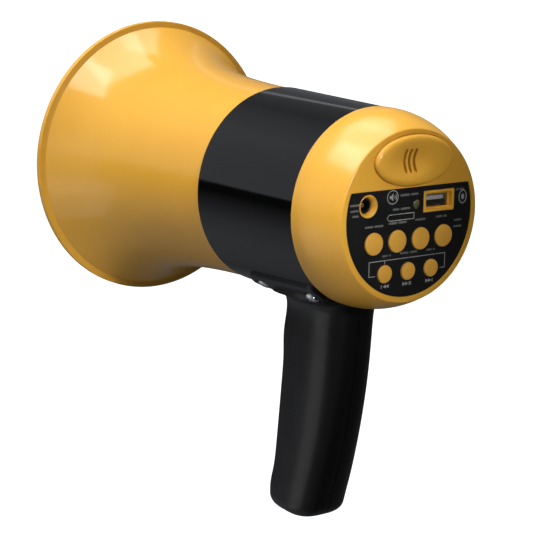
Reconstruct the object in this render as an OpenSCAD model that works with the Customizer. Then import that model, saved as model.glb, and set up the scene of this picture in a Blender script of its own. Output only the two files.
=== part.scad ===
// Handheld megaphone. Millimetres, +Z up. The horn's axis is Y: the bell opens towards -Y and the
// control panel faces +Y. The origin is the centre of the bell's mouth, and +X is the speaker's left.

/* [Bell] */
// Outer radius of the bell's rim
mouth_r = 75.5; // [70:1:92]
// Outer radius that the flare settles to at the neck
neck_r = 49.2; // [47:0.2:49.6]
// Distance from the rim to the barrel
bell_len = 118; // [100:1:142]
// Distance over which the flare falls by a factor of e
flare_len = 34; // [26:1:42]
// Width of the plain band round the rim
rim_land = 3.5; // [2:0.5:6]
// Wall of the bell
bell_wall = 2.4; // [1.8:0.1:3]
// Length of the bell's sleeve inside the barrel
bell_spigot_len = 34; // [32:1:36]

/* [Barrel] */
// Length of the black barrel
barrel_len = 75.2; // [70:0.2:92]
// Outer radius of the barrel at the bell
barrel_front_r = 50.7; // [50.2:0.1:53]
// Outer radius of the barrel at the rear cover
barrel_back_r = 48.9; // [48.6:0.1:50]
// Radius of the barrel's bore
barrel_bore_r = 46.5; // [45.5:0.1:46.8]

/* [Rear cover] */
// Depth of the domed rear cover
cover_len = 29.2; // [27:0.2:35]
// Outer radius of the cover's skirt
cover_r = 49.2; // [48.9:0.1:51]
// Radius of the dome where it meets the flat face
face_r = 41.8; // [41.4:0.1:44]
// Wall of the cover
cover_wall = 2.5; // [2:0.1:3]
// Length of the cover's sleeve inside the barrel
cover_spigot_len = 17; // [15:1:19]

/* [Control panel] */
// Radius of the printed panel
panel_r = 39; // [38:0.2:39.4]
// Height of the panel's straight upper edge
panel_top = 13.8; // [13:0.2:14.6]
// Thickness of the panel
panel_t = 0.5; // [0.3:0.1:0.6]
// How far the panel lies below the cover's rim
panel_drop = 0.6; // [0.3:0.1:0.9]

/* [Buttons] */
// Radius of a function button
key_r = 5.35; // [4.8:0.05:5.6]
// Radius of a track button
track_r = 4.25; // [3.8:0.05:4.6]
// Distance between neighbouring buttons
key_pitch = 14.5; // [14.2:0.1:14.8]
// Travel of a button
key_travel = 0.5; // [0.3:0.1:0.6]
// Gap round a button
key_gap = 0.25; // [0.15:0.05:0.35]

/* [Handle] */
// Height of the grip's lowest point below the horn's axis
grip_drop = 166; // [150:1:200]
// Width of the grip
grip_w = 33; // [31:0.5:39]
// Wall of the grip
grip_wall = 2.6; // [2:0.1:3]
// Thickness of the saddle that hugs the barrel
saddle_t = 2.5; // [2:0.1:3]
// Half-width of the saddle
saddle_half_w = 33; // [31:0.5:35]
// Distance between the saddle's two rows of screws
saddle_pitch = 39; // [37:1:39]

/* [Trigger] */
// Length of the talk trigger
trigger_len = 33; // [31:0.5:36]
// Width of the talk trigger
trigger_w = 13.8; // [12:0.2:14]
// Angle through which the trigger is squeezed
trigger_swing = 5; // [3:0.5:5]

/* [Driver] */
// Radius of the ring magnet
magnet_r = 30; // [26:0.5:31]
// Thickness of the ring magnet
magnet_t = 10; // [8:0.5:12]
// Radius of the reflector that folds the horn
reflector_r = 31; // [27:0.5:33]

/* [Battery] */
// Radius of the battery cell
cell_r = 9.2; // [8:0.1:9.3]
// Length of the battery cell
cell_len = 65; // [50:1:66]

/* [Hidden] */

$fn = 96;
eps = 0.01;
tiny_gap = 0.05;
fit_gap = 0.15;

yellow = [0.93, 0.66, 0.22];
black = [0.06, 0.06, 0.07];
steel = [0.72, 0.73, 0.75];
board_green = [0.05, 0.3, 0.16];

// Stations along the horn's axis
barrel_y = bell_len;
cover_y = barrel_y + barrel_len;
rim_y = cover_y + cover_len;
panel_y = rim_y - panel_drop;
panel_seat_y = panel_y - panel_t;
face_in_y = panel_seat_y - cover_wall;
sleeve_r = barrel_bore_r - fit_gap;
sleeve_in_r = sleeve_r - 2.45;

// The circuit board inside the rear cover
board_t = 1.6;
board_gap = 13.2;
board_back_y = face_in_y - board_gap;
board_front_y = board_back_y - board_t;
board_r = 38.5;
board_posts = [[-33, -8], [33, -8], [-30, 21], [30, 21]];
post_r = 3.2;
board_screw_r = 1.2;

// Fittings on the panel: [across to the reader's right, height]
key_row = -11.5;
track_row = -26.6;
jack_at = [-25.5, 6.7];
led_at = [4.3, 5.3];
usb_at = [18.3, 6];
mic_at = [1, 26.8];
jack_hole_r = 3.75;
jack_ring_r = 5.5;
usb_bezel = [19.4, 10.4];
usb_mouth = [16.2, 7.8];
usb_shell = [13.2, 5.7];
usb_recess = 2.4;
mic_half = [24, 12.3];
mic_rise = 2.2;
mic_seat_y = rim_y - 2;
mic_slot_len = 11.6;
mic_slot_w = 1.4;
mic_slot_pitch = 3;
mic_slot_bow = 24;
mic_dish_x = 3 - mic_at[0];
mic_capsule_r = 4.8;
led_r = 1.5;

// The buttons' flanges and stems, and the switches under them
key_lip = 1.15;
key_stem_r = 1.9;
key_rise = 1.1;
switch_h = 5.8;
switch_well = 2.4;
stem_tip_y = board_back_y + switch_h - 1.2;

// The throat: a bulkhead seated on a ledge inside the neck, and the driver behind it
ledge_y = bell_len - 3.5;
ledge_t = 3;
ledge_r = 36.5;
bulkhead_y = ledge_y + ledge_t;
bulkhead_t = 3;
gasket_y = bulkhead_y + bulkhead_t;
gasket_t = 1;
cap_y = gasket_y + gasket_t;
cap_t = 5;
cap_r = 36;
plate_y = cap_y + cap_t + 0.7;
plate_t = 4;
magnet_y = plate_y + plate_t;
yoke_y = magnet_y + magnet_t;
throat_r = 7;
tube_wall = 1.8;
tube_mouth_r = 12;
tube_front_y = bell_len - 46;
coil_r = 13;
driver_screw_ring = 32.8;
throat_screw_ring = 40.2;

// The reflector: a cup that faces back over the throat's tube
reflector_back_y = bell_len - 12;
reflector_nose = 14;
reflector_nose_y = reflector_back_y - 54;
reflector_wall = 2;

// The saddle and its four screws
saddle_rear_y = cover_y - 1.2;
saddle_front_y = saddle_rear_y - 56;
screw_rear_y = cover_y - 9.2;
screw_front_y = screw_rear_y - saddle_pitch;
screw_slope = 58;
saddle_screw_r = 1.7;
saddle_head_r = 3.7;
saddle_head_h = 2.2;
boss_r = 4.2;
boss_in_r = 38;

// The grip's outline: it leans forward, and its back sweeps forward towards the foot
grip_top = 48;
grip_span = grip_drop - grip_top;
grip_front_y = cover_y - 51.7;
grip_back_y = cover_y - 6.2;
grip_lean = 0.085;
grip_sweep = 22.3;
foot_r = 6;
foot_out = 2;
foot_tilt = 4;
swell = 1.6;
swell_drop = 71;
root_side = 12;
root_front = 1.6;
root_back = 3;
ring_n = 40;

// The trigger turns on a pin near its top, in a slot in the grip's front
trigger_top = 57.6;
trigger_foot = trigger_top + trigger_len;
trigger_bulge = 1.6;
pin_r = 1.25;
pin_y = cover_y - 46.2;
pin_drop = 60.6;
pin_len = 20;
trigger_hub_r = 3.6;
trigger_spring_gap = 2.4;
slot_gap = 0.3;
foot_gap = 1.1;

// The cell stands in the grip, and the trigger's switch above it
cell_lean = 6.5;
cell_y = cover_y - 38.5;
cell_drop = 116.5;
switch_y = cover_y - 41.7;
switch_top = 69.5;
switch_size = [6, 6.5, 12.8];
handle_bosses = [[cover_y - 18.2, -66], [cover_y - 21.7, -112], [cover_y - 45, -158.6]];
handle_screw_r = 1.3;
cable_hole_r = 6;
cable_hole_y = cover_y - 25;

// ---- Shared shapes ----

// Turns a shape drawn about Z so that it stands on the horn's axis at station y
module on_axis(y) {
    translate([0, y, 0]) rotate([-90, 0, 0]) children();
}

// A rod along Y from y0 to y1 at a place on the panel
module panel_rod(at, r, y0, y1) {
    translate([-at[0], y0, at[1]]) rotate([-90, 0, 0]) cylinder(r = r, h = y1 - y0);
}

// A block along Y from y0 to y1, centred at a place on the panel
module panel_block(at, size, y0, y1) {
    translate([-at[0] - size[0] / 2, y0, at[1] - size[1] / 2]) cube([size[0], y1 - y0, size[1]]);
}

// A ring about the horn's axis from station y0 to y1
module ring(r_out, r_in, y0, y1) {
    on_axis(y0) difference() {
        cylinder(r = r_out, h = y1 - y0);
        translate([0, 0, -1]) cylinder(r = r_in, h = y1 - y0 + 2);
    }
}

// A rod along X through [y, z]
module cross_rod(at, r, x0, x1) {
    translate([x0, at[0], at[1]]) rotate([0, 90, 0]) cylinder(r = r, h = x1 - x0);
}

// Copies round the horn's axis on a circle of radius r, from angle start
module around(count, r, start) {
    for (i = [0:count - 1])
        rotate([0, start + 360 * i / count, 0]) translate([r, 0, 0]) children();
}

// The barrel's outer shape grown by a gap
module barrel_envelope(gap) {
    on_axis(barrel_y) cylinder(r1 = barrel_front_r + gap, r2 = barrel_back_r + gap, h = barrel_len);
}

// Puts a shape on each of the four saddle screws' axes, pointing out from the horn's axis
module at_saddle_screws(stations) {
    for (y = stations) for (side = [0, 1])
        mirror([side, 0, 0]) translate([0, y, 0]) rotate([0, 90 + screw_slope, 0]) children();
}

// A flat ellipse in the plane of the panel
module mic_oval(grow) {
    polygon([for (i = [0:71]) let (a = i * 5)
        [-mic_at[0] + (mic_half[0] + grow) * cos(a), -mic_at[1] + (mic_half[1] + grow) * sin(a)]]);
}

// A round tube carried along points, with its frame kept from twisting
function unit(v) = v / norm(v);
function headings(p) =
    [for (i = [0:len(p) - 1]) unit(p[min(i + 1, len(p) - 1)] - p[max(i - 1, 0)])];
function carried(t, n, i = 0) = i >= len(t) ? [] :
    let (m = unit(n - (n * t[i]) * t[i])) concat([m], carried(t, m, i + 1));

module tube(p, r, sides = 8) {
    t = headings(p);
    start = abs(t[0][0]) < 0.9 ? [1, 0, 0] : [0, 1, 0];
    m = carried(t, start);
    last = (len(p) - 1) * sides;
    points = [for (i = [0:len(p) - 1]) for (k = [0:sides - 1])
        p[i] + r * (cos(360 * k / sides) * m[i] + sin(360 * k / sides) * cross(t[i], m[i]))];
    walls = [for (i = [0:len(p) - 2]) for (k = [0:sides - 1]) let (j = (k + 1) % sides)
        [i * sides + k, (i + 1) * sides + k, (i + 1) * sides + j, i * sides + j]];
    polyhedron(points, concat(
        [[for (k = [0:sides - 1]) k]],
        [[for (k = [0:sides - 1]) last + sides - 1 - k]],
        walls), convexity = 6);
}

// A smooth route through hand-set points, with steps between each pair
function between(a, b, c, d, t) =
    0.5 * (2 * b + (c - a) * t + (2 * a - 5 * b + 4 * c - d) * t * t
    + (3 * b - a - 3 * c + d) * t * t * t);
function route(p, steps = 3) = concat(
    [for (i = [0:len(p) - 2]) for (s = [0:steps - 1])
        between(p[max(i - 1, 0)], p[i], p[i + 1], p[min(i + 2, len(p) - 1)], s / steps)],
    [p[len(p) - 1]]);

// A pan-head screw: head above z = 0, shank below it
module screw(shank_r, shank_len, head_r, head_h) {
    translate([0, 0, -shank_len]) cylinder(r = shank_r, h = shank_len);
    difference() {
        intersection() {
            cylinder(r = head_r, h = head_h);
            translate([0, 0, head_h - head_r * 1.35]) sphere(r = head_r * 1.35);
        }
        for (a = [0, 90]) rotate([0, 0, a])
            translate([-head_r / 2, -head_r / 8, head_h * 0.45]) cube([head_r, head_r / 4, head_h]);
    }
}

// ---- Bell, barrel and rear cover ----

function flare(y) = neck_r + (mouth_r - neck_r) * exp(-y / flare_len);
function flare_steps(y0, y1, n, inset) = [for (i = [0:n]) let (y = y0 + (y1 - y0) * i / n)
    [flare(y) - inset, y]];

module bell() {
    color(yellow) difference() {
        union() {
            on_axis(0) rotate_extrude() polygon(concat(
                [[mouth_r - bell_wall, 0], [mouth_r, 0], [mouth_r, rim_land]],
                flare_steps(rim_land + 0.6, bell_len, 28, 0),
                [[sleeve_r, bell_len], [sleeve_r, bell_len + bell_spigot_len],
                 [sleeve_in_r, bell_len + bell_spigot_len], [sleeve_in_r, bulkhead_y],
                 [ledge_r, bulkhead_y], [ledge_r, ledge_y]],
                flare_steps(ledge_y, 0, 28, bell_wall)));
            at_saddle_screws([screw_front_y]) translate([0, 0, boss_in_r])
                cylinder(r = boss_r, h = sleeve_r - 1 - boss_in_r);
        }
        at_saddle_screws([screw_front_y]) cylinder(r = saddle_screw_r + tiny_gap, h = 60);
        around(4, throat_screw_ring, 45) rotate([-90, 0, 0])
            translate([0, 0, ledge_y - 1]) cylinder(r = board_screw_r + tiny_gap, h = ledge_t + 2);
    }
}

module barrel() {
    color(black) difference() {
        barrel_envelope(0);
        on_axis(barrel_y - 1) cylinder(r = barrel_bore_r, h = barrel_len + 2);
        at_saddle_screws([screw_front_y, screw_rear_y])
            cylinder(r = saddle_screw_r + tiny_gap, h = 60);
        translate([0, cable_hole_y, -60]) cylinder(r = cable_hole_r, h = 30);
    }
}

// The dome: a short skirt, then a rounded shoulder that falls to the face
skirt_len = 4;
function dome(s) = cover_r - (cover_r - face_r) * pow(s, 1.9);
function dome_steps(n, inset) = [for (i = [0:n]) let (s = i / n)
    [dome(s) - inset, cover_y + skirt_len + (cover_len - skirt_len) * s]];

module rear_cover() {
    inner = [for (p = dome_steps(16, cover_wall)) if (p[1] < face_in_y) p];
    color(yellow) difference() {
        union() {
            on_axis(0) rotate_extrude() polygon(concat(
                [[0, face_in_y], [dome(1) - cover_wall, face_in_y]],
                [for (i = [len(inner) - 1:-1:0]) inner[i]],
                [[sleeve_in_r, cover_y + 2], [sleeve_in_r, cover_y - cover_spigot_len],
                 [sleeve_r, cover_y - cover_spigot_len], [sleeve_r, cover_y], [cover_r, cover_y]],
                dome_steps(16, 0),
                [[0, rim_y]]));
            for (at = board_posts) panel_rod(at, post_r, board_back_y, face_in_y + 1);
            panel_rod(mic_at, mic_capsule_r + 3, face_in_y - 6, face_in_y + 1);
            at_saddle_screws([screw_rear_y]) translate([0, 0, boss_in_r])
                cylinder(r = boss_r, h = sleeve_r - 1 - boss_in_r);
        }
        difference() {
            panel_shape(0.1, panel_seat_y, rim_y + 1);
            panel_rod(jack_at, jack_ring_r, panel_seat_y - 1, panel_y + 0.2);
            panel_block(usb_at, usb_bezel, panel_seat_y - 1, panel_y + 0.2);
        }
        for (at = key_places()) panel_rod(at, key_r + key_gap, face_in_y - 1, rim_y);
        for (at = track_places()) panel_rod(at, track_r + key_gap, face_in_y - 1, rim_y);
        for (at = board_posts)
            panel_rod(at, board_screw_r + tiny_gap, board_back_y - 1, board_back_y + 9);
        panel_rod(jack_at, jack_hole_r, face_in_y - 1, rim_y);
        translate([-jack_at[0], panel_y - 2, jack_at[1]]) rotate([-90, 0, 0])
            cylinder(r1 = jack_hole_r, r2 = jack_ring_r - 0.4, h = 2.2 + eps);
        panel_rod(led_at, led_r + fit_gap, face_in_y - 1, rim_y);
        panel_block(usb_at, usb_mouth, panel_y - 1.8, rim_y);
        panel_block(usb_at, usb_shell + [0.6, 0.6], face_in_y - 1, rim_y);
        on_axis(mic_seat_y) linear_extrude(5) mic_oval(0.25);
        panel_rod(mic_at, mic_capsule_r - 0.4, face_in_y - 1, rim_y);
        panel_rod(mic_at, mic_capsule_r + 1.7, face_in_y - 7, face_in_y);
        at_saddle_screws([screw_rear_y]) cylinder(r = saddle_screw_r + tiny_gap, h = 60);
    }
}

// ---- Panel and its fittings ----

function key_places() = [for (i = [-1.5:1:1.5]) [i * key_pitch, key_row]];
function track_places() = [for (i = [-1:1]) [i * key_pitch, track_row]];

// The panel's outline, a disc with a straight upper edge, from station y0 to y1
module panel_shape(grow, y0, y1) {
    intersection() {
        on_axis(y0) cylinder(r = panel_r + grow, h = y1 - y0);
        translate([-panel_r - 1, y0 - 1, -panel_r - 1])
            cube([2 * panel_r + 2, y1 - y0 + 2, panel_r + 1 + panel_top + grow]);
    }
}

module control_panel() {
    color(black) difference() {
        panel_shape(0, panel_seat_y, panel_y);
        for (at = key_places()) panel_rod(at, key_r + key_gap, panel_seat_y - 1, rim_y);
        for (at = track_places()) panel_rod(at, track_r + key_gap, panel_seat_y - 1, rim_y);
        panel_rod(jack_at, jack_ring_r + 0.1, panel_seat_y - 1, rim_y);
        panel_rod(led_at, led_r + 0.6, panel_seat_y - 1, rim_y);
        panel_block(usb_at, usb_bezel + [0.2, 0.2], panel_seat_y - 1, rim_y);
    }
}

// Three bowed slots side by side
module mic_slots(y0, y1) {
    for (i = [-1:1]) intersection() {
        translate([mic_dish_x + i * mic_slot_pitch - mic_slot_bow, y0, mic_at[1]])
            rotate([-90, 0, 0]) difference() {
                cylinder(r = mic_slot_bow + mic_slot_w / 2, h = y1 - y0);
                translate([0, 0, -1]) cylinder(r = mic_slot_bow - mic_slot_w / 2, h = y1 - y0 + 2);
            }
        translate([mic_dish_x + i * mic_slot_pitch - 4, y0, mic_at[1] - mic_slot_len / 2])
            cube([6, y1 - y0, mic_slot_len]);
    }
}

module microphone_cover() {
    color(yellow) difference() {
        union() {
            on_axis(mic_seat_y) linear_extrude(2 + mic_rise - 0.8) mic_oval(0);
            on_axis(mic_seat_y) linear_extrude(2 + mic_rise - 0.3) mic_oval(-0.7);
            on_axis(mic_seat_y) linear_extrude(2 + mic_rise) mic_oval(-1.6);
        }
        translate([mic_dish_x, rim_y + mic_rise + 27.4, mic_at[1]]) sphere(r = 29);
        mic_slots(mic_seat_y - 1, rim_y + mic_rise + 1);
    }
}

module microphone_boot() {
    color(black) difference() {
        panel_rod(mic_at, mic_capsule_r + 1.6, face_in_y - 7.6, face_in_y - tiny_gap);
        panel_rod(mic_at, mic_capsule_r + tiny_gap, face_in_y - 6.6, face_in_y + 1);
        panel_rod(mic_at, 2.2, face_in_y - 8, face_in_y);
    }
}

module microphone_capsule() {
    color(steel) panel_rod(mic_at, mic_capsule_r, face_in_y - 6.5, face_in_y - 0.3);
}

module usb_port_shell() {
    wall = 0.35;
    color(steel) difference() {
        panel_block(usb_at, usb_shell, board_back_y, panel_y - usb_recess);
        panel_block(usb_at, usb_shell - 2 * [wall, wall], board_back_y - 1, rim_y);
    }
}

module usb_port_tongue() {
    base = usb_shell - [0.9, 0.9];
    color("white") union() {
        panel_block(usb_at, base, board_back_y, board_back_y + 2.4);
        panel_block(usb_at + [0, 1], [base[0] - 1, 1.9], board_back_y + 2, panel_y - usb_recess - 1);
    }
}

module charging_jack() {
    color(black) difference() {
        panel_block(jack_at, [9, 9], board_back_y, face_in_y - tiny_gap);
        panel_rod(jack_at, 3.1, board_back_y + 2.4, rim_y);
        panel_rod(jack_at, 1.05 + tiny_gap, board_back_y - 1, rim_y);
    }
}

module charging_jack_pin() {
    color(steel) panel_rod(jack_at, 1.05, board_back_y, face_in_y - 1.6);
}

module indicator_led() {
    color([0.8, 0.15, 0.1]) {
        for (side = [-0.8, 0.8])
            panel_rod(led_at + [side, 0], 0.25, board_back_y, face_in_y - 3);
        panel_rod(led_at, led_r + 0.4, face_in_y - 3.4, face_in_y - 2.4);
        panel_rod(led_at, led_r, face_in_y - 2.4, panel_y - led_r - 0.2);
        translate([-led_at[0], panel_y - led_r - 0.2, led_at[1]]) sphere(r = led_r);
    }
}

// ---- Board ----

module main_board() {
    color(board_green) difference() {
        on_axis(board_front_y) cylinder(r = board_r, h = board_t);
        for (at = board_posts) panel_rod(at, board_screw_r + 0.2, board_front_y - 1, board_back_y + 1);
    }
}

module board_screws() {
    color(steel) for (at = board_posts)
        translate([-at[0], board_front_y, at[1]]) rotate([90, 0, 0])
            screw(board_screw_r, board_t + 8, 2.4, 1.8);
}

module key_switches() {
    color(black) for (at = concat(key_places(), track_places())) difference() {
        panel_block(at, [6, 6], board_back_y, board_back_y + switch_h);
        panel_rod(at, key_stem_r + 0.2, board_back_y + switch_h - switch_well, rim_y);
    }
}

chips = [[-14, 12, 9, 9], [6, 14, 12, 8], [2, -20, 15, 10], [-20, -14, 6, 5]];
module board_chips() {
    color(black) for (c = chips)
        panel_block([c[0], c[1]], [c[2], c[3]], board_front_y - 1.6, board_front_y);
}

module capacitors() {
    color([0.1, 0.15, 0.35]) for (at = [[-26, 4], [-16, -27], [26, -22]])
        panel_rod(at, 4, board_front_y - 11, board_front_y);
}

headers = [[-6, -33], [6, -33], [30, 5], [-4, 27]];
module lead_headers() {
    color("white") for (at = headers)
        panel_block(at, [6, 4.2], board_front_y - 5.5, board_front_y);
}

// ---- Buttons ----

// A cap with a retaining flange behind the cover's wall and a stem that reaches its switch
module button(at, r) {
    color(yellow) {
        panel_rod(at, r, face_in_y - 4.8, panel_y + key_rise - 0.3);
        panel_rod(at, r - 0.3, panel_y, panel_y + key_rise);
        panel_rod(at, r + key_lip, face_in_y - 1.9, face_in_y - 0.3);
        panel_rod(at, key_stem_r, stem_tip_y, face_in_y - 4);
    }
}

module power_button() { button(key_places()[0], key_r); }
module alarm_button() { button(key_places()[1], key_r); }
module record_button() { button(key_places()[2], key_r); }
module play_button() { button(key_places()[3], key_r); }
module previous_button() { button(track_places()[0], track_r); }
module pause_button() { button(track_places()[1], track_r); }
module next_button() { button(track_places()[2], track_r); }

// ---- Horn throat and driver ----

module throat_horn() {
    color(yellow) difference() {
        on_axis(0) rotate_extrude() polygon([
            [throat_r, gasket_y], [tube_mouth_r, tube_front_y],
            [tube_mouth_r + tube_wall, tube_front_y], [tube_mouth_r + tube_wall, tube_front_y + 10],
            [throat_r + 4, bulkhead_y], [sleeve_in_r - 0.2, bulkhead_y],
            [sleeve_in_r - 0.2, gasket_y]]);
        around(4, throat_screw_ring, 45) rotate([-90, 0, 0])
            translate([0, 0, bulkhead_y - 1]) cylinder(r = board_screw_r + 0.2, h = bulkhead_t + 2);
        around(3, driver_screw_ring, 90) rotate([-90, 0, 0])
            translate([0, 0, bulkhead_y - 1]) cylinder(r = board_screw_r + tiny_gap, h = 6);
    }
}

// The cup, a hub on the throat's tube and three spokes between them
module reflector() {
    hub_in = tube_mouth_r + tube_wall + tiny_gap;
    skirt_y = reflector_nose_y + reflector_nose;
    color(yellow) union() {
        on_axis(0) rotate_extrude() polygon(concat(
            [for (i = [0:12]) let (a = i * 7.5)
                [reflector_r * sin(a), skirt_y - reflector_nose * cos(a)]],
            [[reflector_r, reflector_back_y], [reflector_r - reflector_wall, reflector_back_y]],
            [for (i = [12:-1:0]) let (a = i * 7.5)
                [(reflector_r - reflector_wall) * sin(a),
                 skirt_y - (reflector_nose - reflector_wall) * cos(a)]]));
        ring(hub_in + 1.8, hub_in, tube_front_y, tube_front_y + 9);
        for (i = [0:2]) rotate([0, 90 + 120 * i, 0])
            translate([hub_in + 1, tube_front_y, -1])
                cube([reflector_r - reflector_wall - hub_in, 9, 2]);
    }
}

module throat_screws() {
    color(steel) around(4, throat_screw_ring, 45) translate([0, gasket_y, 0]) rotate([-90, 0, 0])
        screw(board_screw_r, bulkhead_t + ledge_t - 0.5, 2.4, 1.8);
}

module driver_gasket() {
    color([0.2, 0.2, 0.2]) difference() {
        ring(cap_r - 1, throat_r + 1, gasket_y, cap_y);
        around(3, driver_screw_ring, 90) rotate([-90, 0, 0])
            translate([0, 0, gasket_y - 1]) cylinder(r = board_screw_r + 0.2, h = gasket_t + 2);
    }
}

module driver_cap() {
    color(black) difference() {
        ring(cap_r, throat_r, cap_y, cap_y + cap_t);
        on_axis(cap_y + 2) cylinder(r = 20.5, h = cap_t);
        around(3, driver_screw_ring, 90) rotate([-90, 0, 0])
            translate([0, 0, cap_y - 1]) cylinder(r = board_screw_r + 0.2, h = cap_t + 2);
    }
}

// A thin dome with a flat surround
module driver_diaphragm() {
    film = 0.3;
    seat = plate_y - 0.6;
    color([0.75, 0.6, 0.35]) on_axis(0) rotate_extrude() polygon(concat(
        [[20, seat], [20, seat - film]],
        [for (i = [0:8]) let (s = 1 - i / 8) [coil_r * s, seat - film - 2 * (1 - s * s)]],
        [for (i = [0:8]) let (s = i / 8) [coil_r * s, seat - 2 * (1 - s * s)]]));
}

module voice_coil() {
    color([0.7, 0.35, 0.15]) ring(coil_r + 0.2, coil_r - 0.2, plate_y - 0.6, plate_y + 6);
}

module driver_top_plate() {
    color(steel) ring(magnet_r - 3, coil_r + 0.7, plate_y, magnet_y);
}

module driver_magnet() {
    color([0.25, 0.25, 0.26]) ring(magnet_r, coil_r + 3, magnet_y, yoke_y);
}

module driver_yoke() {
    color(steel) union() {
        on_axis(yoke_y) cylinder(r = magnet_r - 3, h = 4);
        on_axis(plate_y + 0.8) cylinder(r = coil_r - 0.6, h = yoke_y - plate_y);
    }
}

module driver_screws() {
    color(steel) around(3, driver_screw_ring, 90)
        translate([0, cap_y + cap_t, 0]) rotate([-90, 0, 0])
            screw(board_screw_r, cap_t + gasket_t + bulkhead_t - 0.5, 2.2, 1.8);
}

// ---- Handle ----

// Front and back of the grip at depth d below the horn's axis
function grip_front(d) = grip_front_y - grip_lean * (d - grip_top)
    - swell * exp(-pow((d - swell_drop) / 10, 2))
    - foot_out * exp(-pow((d - grip_drop + 11) / 9, 2));
function grip_back(d) = grip_back_y - grip_sweep * pow((d - grip_top) / grip_span, 2);
function root_flare(d) = exp(-max(0, d - 46.5) / 2.8);
function bow(v, e) = sign(v) * pow(abs(v), 2 / e);

// One closed outline of the grip, a rounded rectangle shrunk by inset
function grip_ring(d, inset, flared) = let (
    spread = flared ? root_flare(d) : 0,
    front = grip_front(d) - root_front * spread + inset,
    back = grip_back(d) + root_back * spread - inset,
    half = grip_w / 2 + root_side * spread - inset,
    slant = tan(foot_tilt) * pow((d - 38) / (grip_drop - 38), 4))
    [for (k = [0:ring_n - 1]) let (a = 360 * (k + 0.5) / ring_n, y = (back - front) / 2 * bow(sin(a), 3))
        [half * bow(cos(a), 3), (front + back) / 2 + y, -d - slant * y]];

// Outlines stacked into one solid
module stack(rings) {
    last = (len(rings) - 1) * ring_n;
    points = [for (r = rings) for (p = r) p];
    walls = [for (i = [0:len(rings) - 2]) for (k = [0:ring_n - 1]) let (j = (k + 1) % ring_n)
        [i * ring_n + k, i * ring_n + j, (i + 1) * ring_n + j, (i + 1) * ring_n + k]];
    polyhedron(points, concat(
        [[for (k = [0:ring_n - 1]) ring_n - 1 - k]],
        [[for (k = [0:ring_n - 1]) last + k]],
        walls), convexity = 6);
}

// Depths of the outlines, closer together where the root flares
grip_depths = concat([38, 44, 47, 48.5, 50, 52, 54.5, 58, 63],
    [for (i = [1:7]) 63 + (grip_drop - foot_r - 63) * i / 8]);
module grip_solid() {
    stack(concat(
        [for (d = grip_depths) grip_ring(d, 0, true)],
        [for (a = [0:22.5:90]) grip_ring(grip_drop - foot_r + foot_r * sin(a),
            foot_r * (1 - cos(a)) * 0.9, true)]));
}

module grip_hollow() {
    stack([for (d = concat([36, 50, 58], [for (i = [1:5])
        58 + (grip_drop - grip_wall - 58) * i / 5])) grip_ring(d, grip_wall, false)]);
}

// The saddle plate: a band of the barrel's envelope cut to a rounded rectangle
module saddle_plate() {
    corner = 6;
    intersection() {
        barrel_envelope(saddle_t);
        translate([0, 0, -70]) linear_extrude(45) union() {
            for (x = [-1, 1]) for (y = [saddle_front_y + corner, saddle_rear_y - corner])
                translate([x * (saddle_half_w - corner), y]) circle(r = corner);
            translate([-saddle_half_w, saddle_front_y + corner])
                square([2 * saddle_half_w, saddle_rear_y - saddle_front_y - 2 * corner]);
            translate([corner - saddle_half_w, saddle_front_y])
                square([2 * (saddle_half_w - corner), saddle_rear_y - saddle_front_y]);
        }
    }
}

// Both halves in one, before the split: shell, saddle, bosses and cradle
module handle_body() {
    difference() {
        union() {
            saddle_plate();
            difference() {
                grip_solid();
                grip_hollow();
            }
            intersection() {
                grip_solid();
                union() {
                    for (at = handle_bosses) cross_rod(at, 3.4, -20, 20);
                    cross_rod([pin_y, -pin_drop], 3, -20, -trigger_w / 2 - 0.4);
                    cross_rod([pin_y, -pin_drop], 3, trigger_w / 2 + 0.4, 20);
                    cell_cradle();
                }
            }
        }
        barrel_envelope(tiny_gap);
        at_saddle_screws([screw_front_y, screw_rear_y]) {
            cylinder(r = saddle_screw_r + 0.2, h = 70);
            translate([0, 0, barrel_front_r + 0.6]) cylinder(r = saddle_head_r + 0.5, h = 12);
        }
        cross_rod([pin_y, -pin_drop], pin_r + 0.02, -pin_len / 2 - 0.2, pin_len / 2 + 0.2);
        translate([-trigger_w / 2 - slot_gap, grip_front(90) - 12, -trigger_foot - foot_gap])
            cube([trigger_w + 2 * slot_gap, 23, trigger_len + foot_gap + slot_gap]);
        translate([0, cable_hole_y, -60]) cylinder(r = cable_hole_r, h = 30);
    }
}

// Two ribs across the grip with a round seat for the cell
module cell_cradle() {
    difference() {
        for (d = [104, 136]) translate([-20, cell_y - 12, -d]) cube([40, 21, 1.8]);
        at_cell() cylinder(r = cell_r + 0.2, h = cell_len + 20, center = true);
    }
}

module at_cell() {
    translate([0, cell_y, -cell_drop]) rotate([-cell_lean, 0, 0]) children();
}

module handle_left() {
    color(black) union() {
        difference() {
            intersection() {
                handle_body();
                translate([tiny_gap, 0, -200]) cube([100, 300, 200]);
            }
            for (at = handle_bosses) cross_rod(at, handle_screw_r + tiny_gap, -1, 9);
        }
        for (z = [-3, 3 - switch_size[2]])
            cross_rod([switch_y + 4, -switch_top + z], 1, -2.6, 14.6);
    }
}

module handle_right() {
    color(black) difference() {
        intersection() {
            handle_body();
            translate([-100 - tiny_gap, 0, -200]) cube([100, 300, 200]);
        }
        for (at = handle_bosses) {
            cross_rod(at, handle_screw_r + 0.2, -20, 1);
            cross_rod(at, 2.8, -20, -11);
        }
    }
}

module handle_screws() {
    color(steel) for (at = handle_bosses)
        translate([-11, at[0], at[1]]) rotate([0, -90, 0]) screw(handle_screw_r, 19, 2.5, 1.9);
}

module saddle_screws() {
    color(steel) at_saddle_screws([screw_front_y, screw_rear_y])
        translate([0, 0, barrel_front_r + 0.65])
            screw(saddle_screw_r, barrel_front_r + 0.65 - boss_in_r - 1, saddle_head_r, saddle_head_h);
}

// ---- Trigger ----

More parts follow.
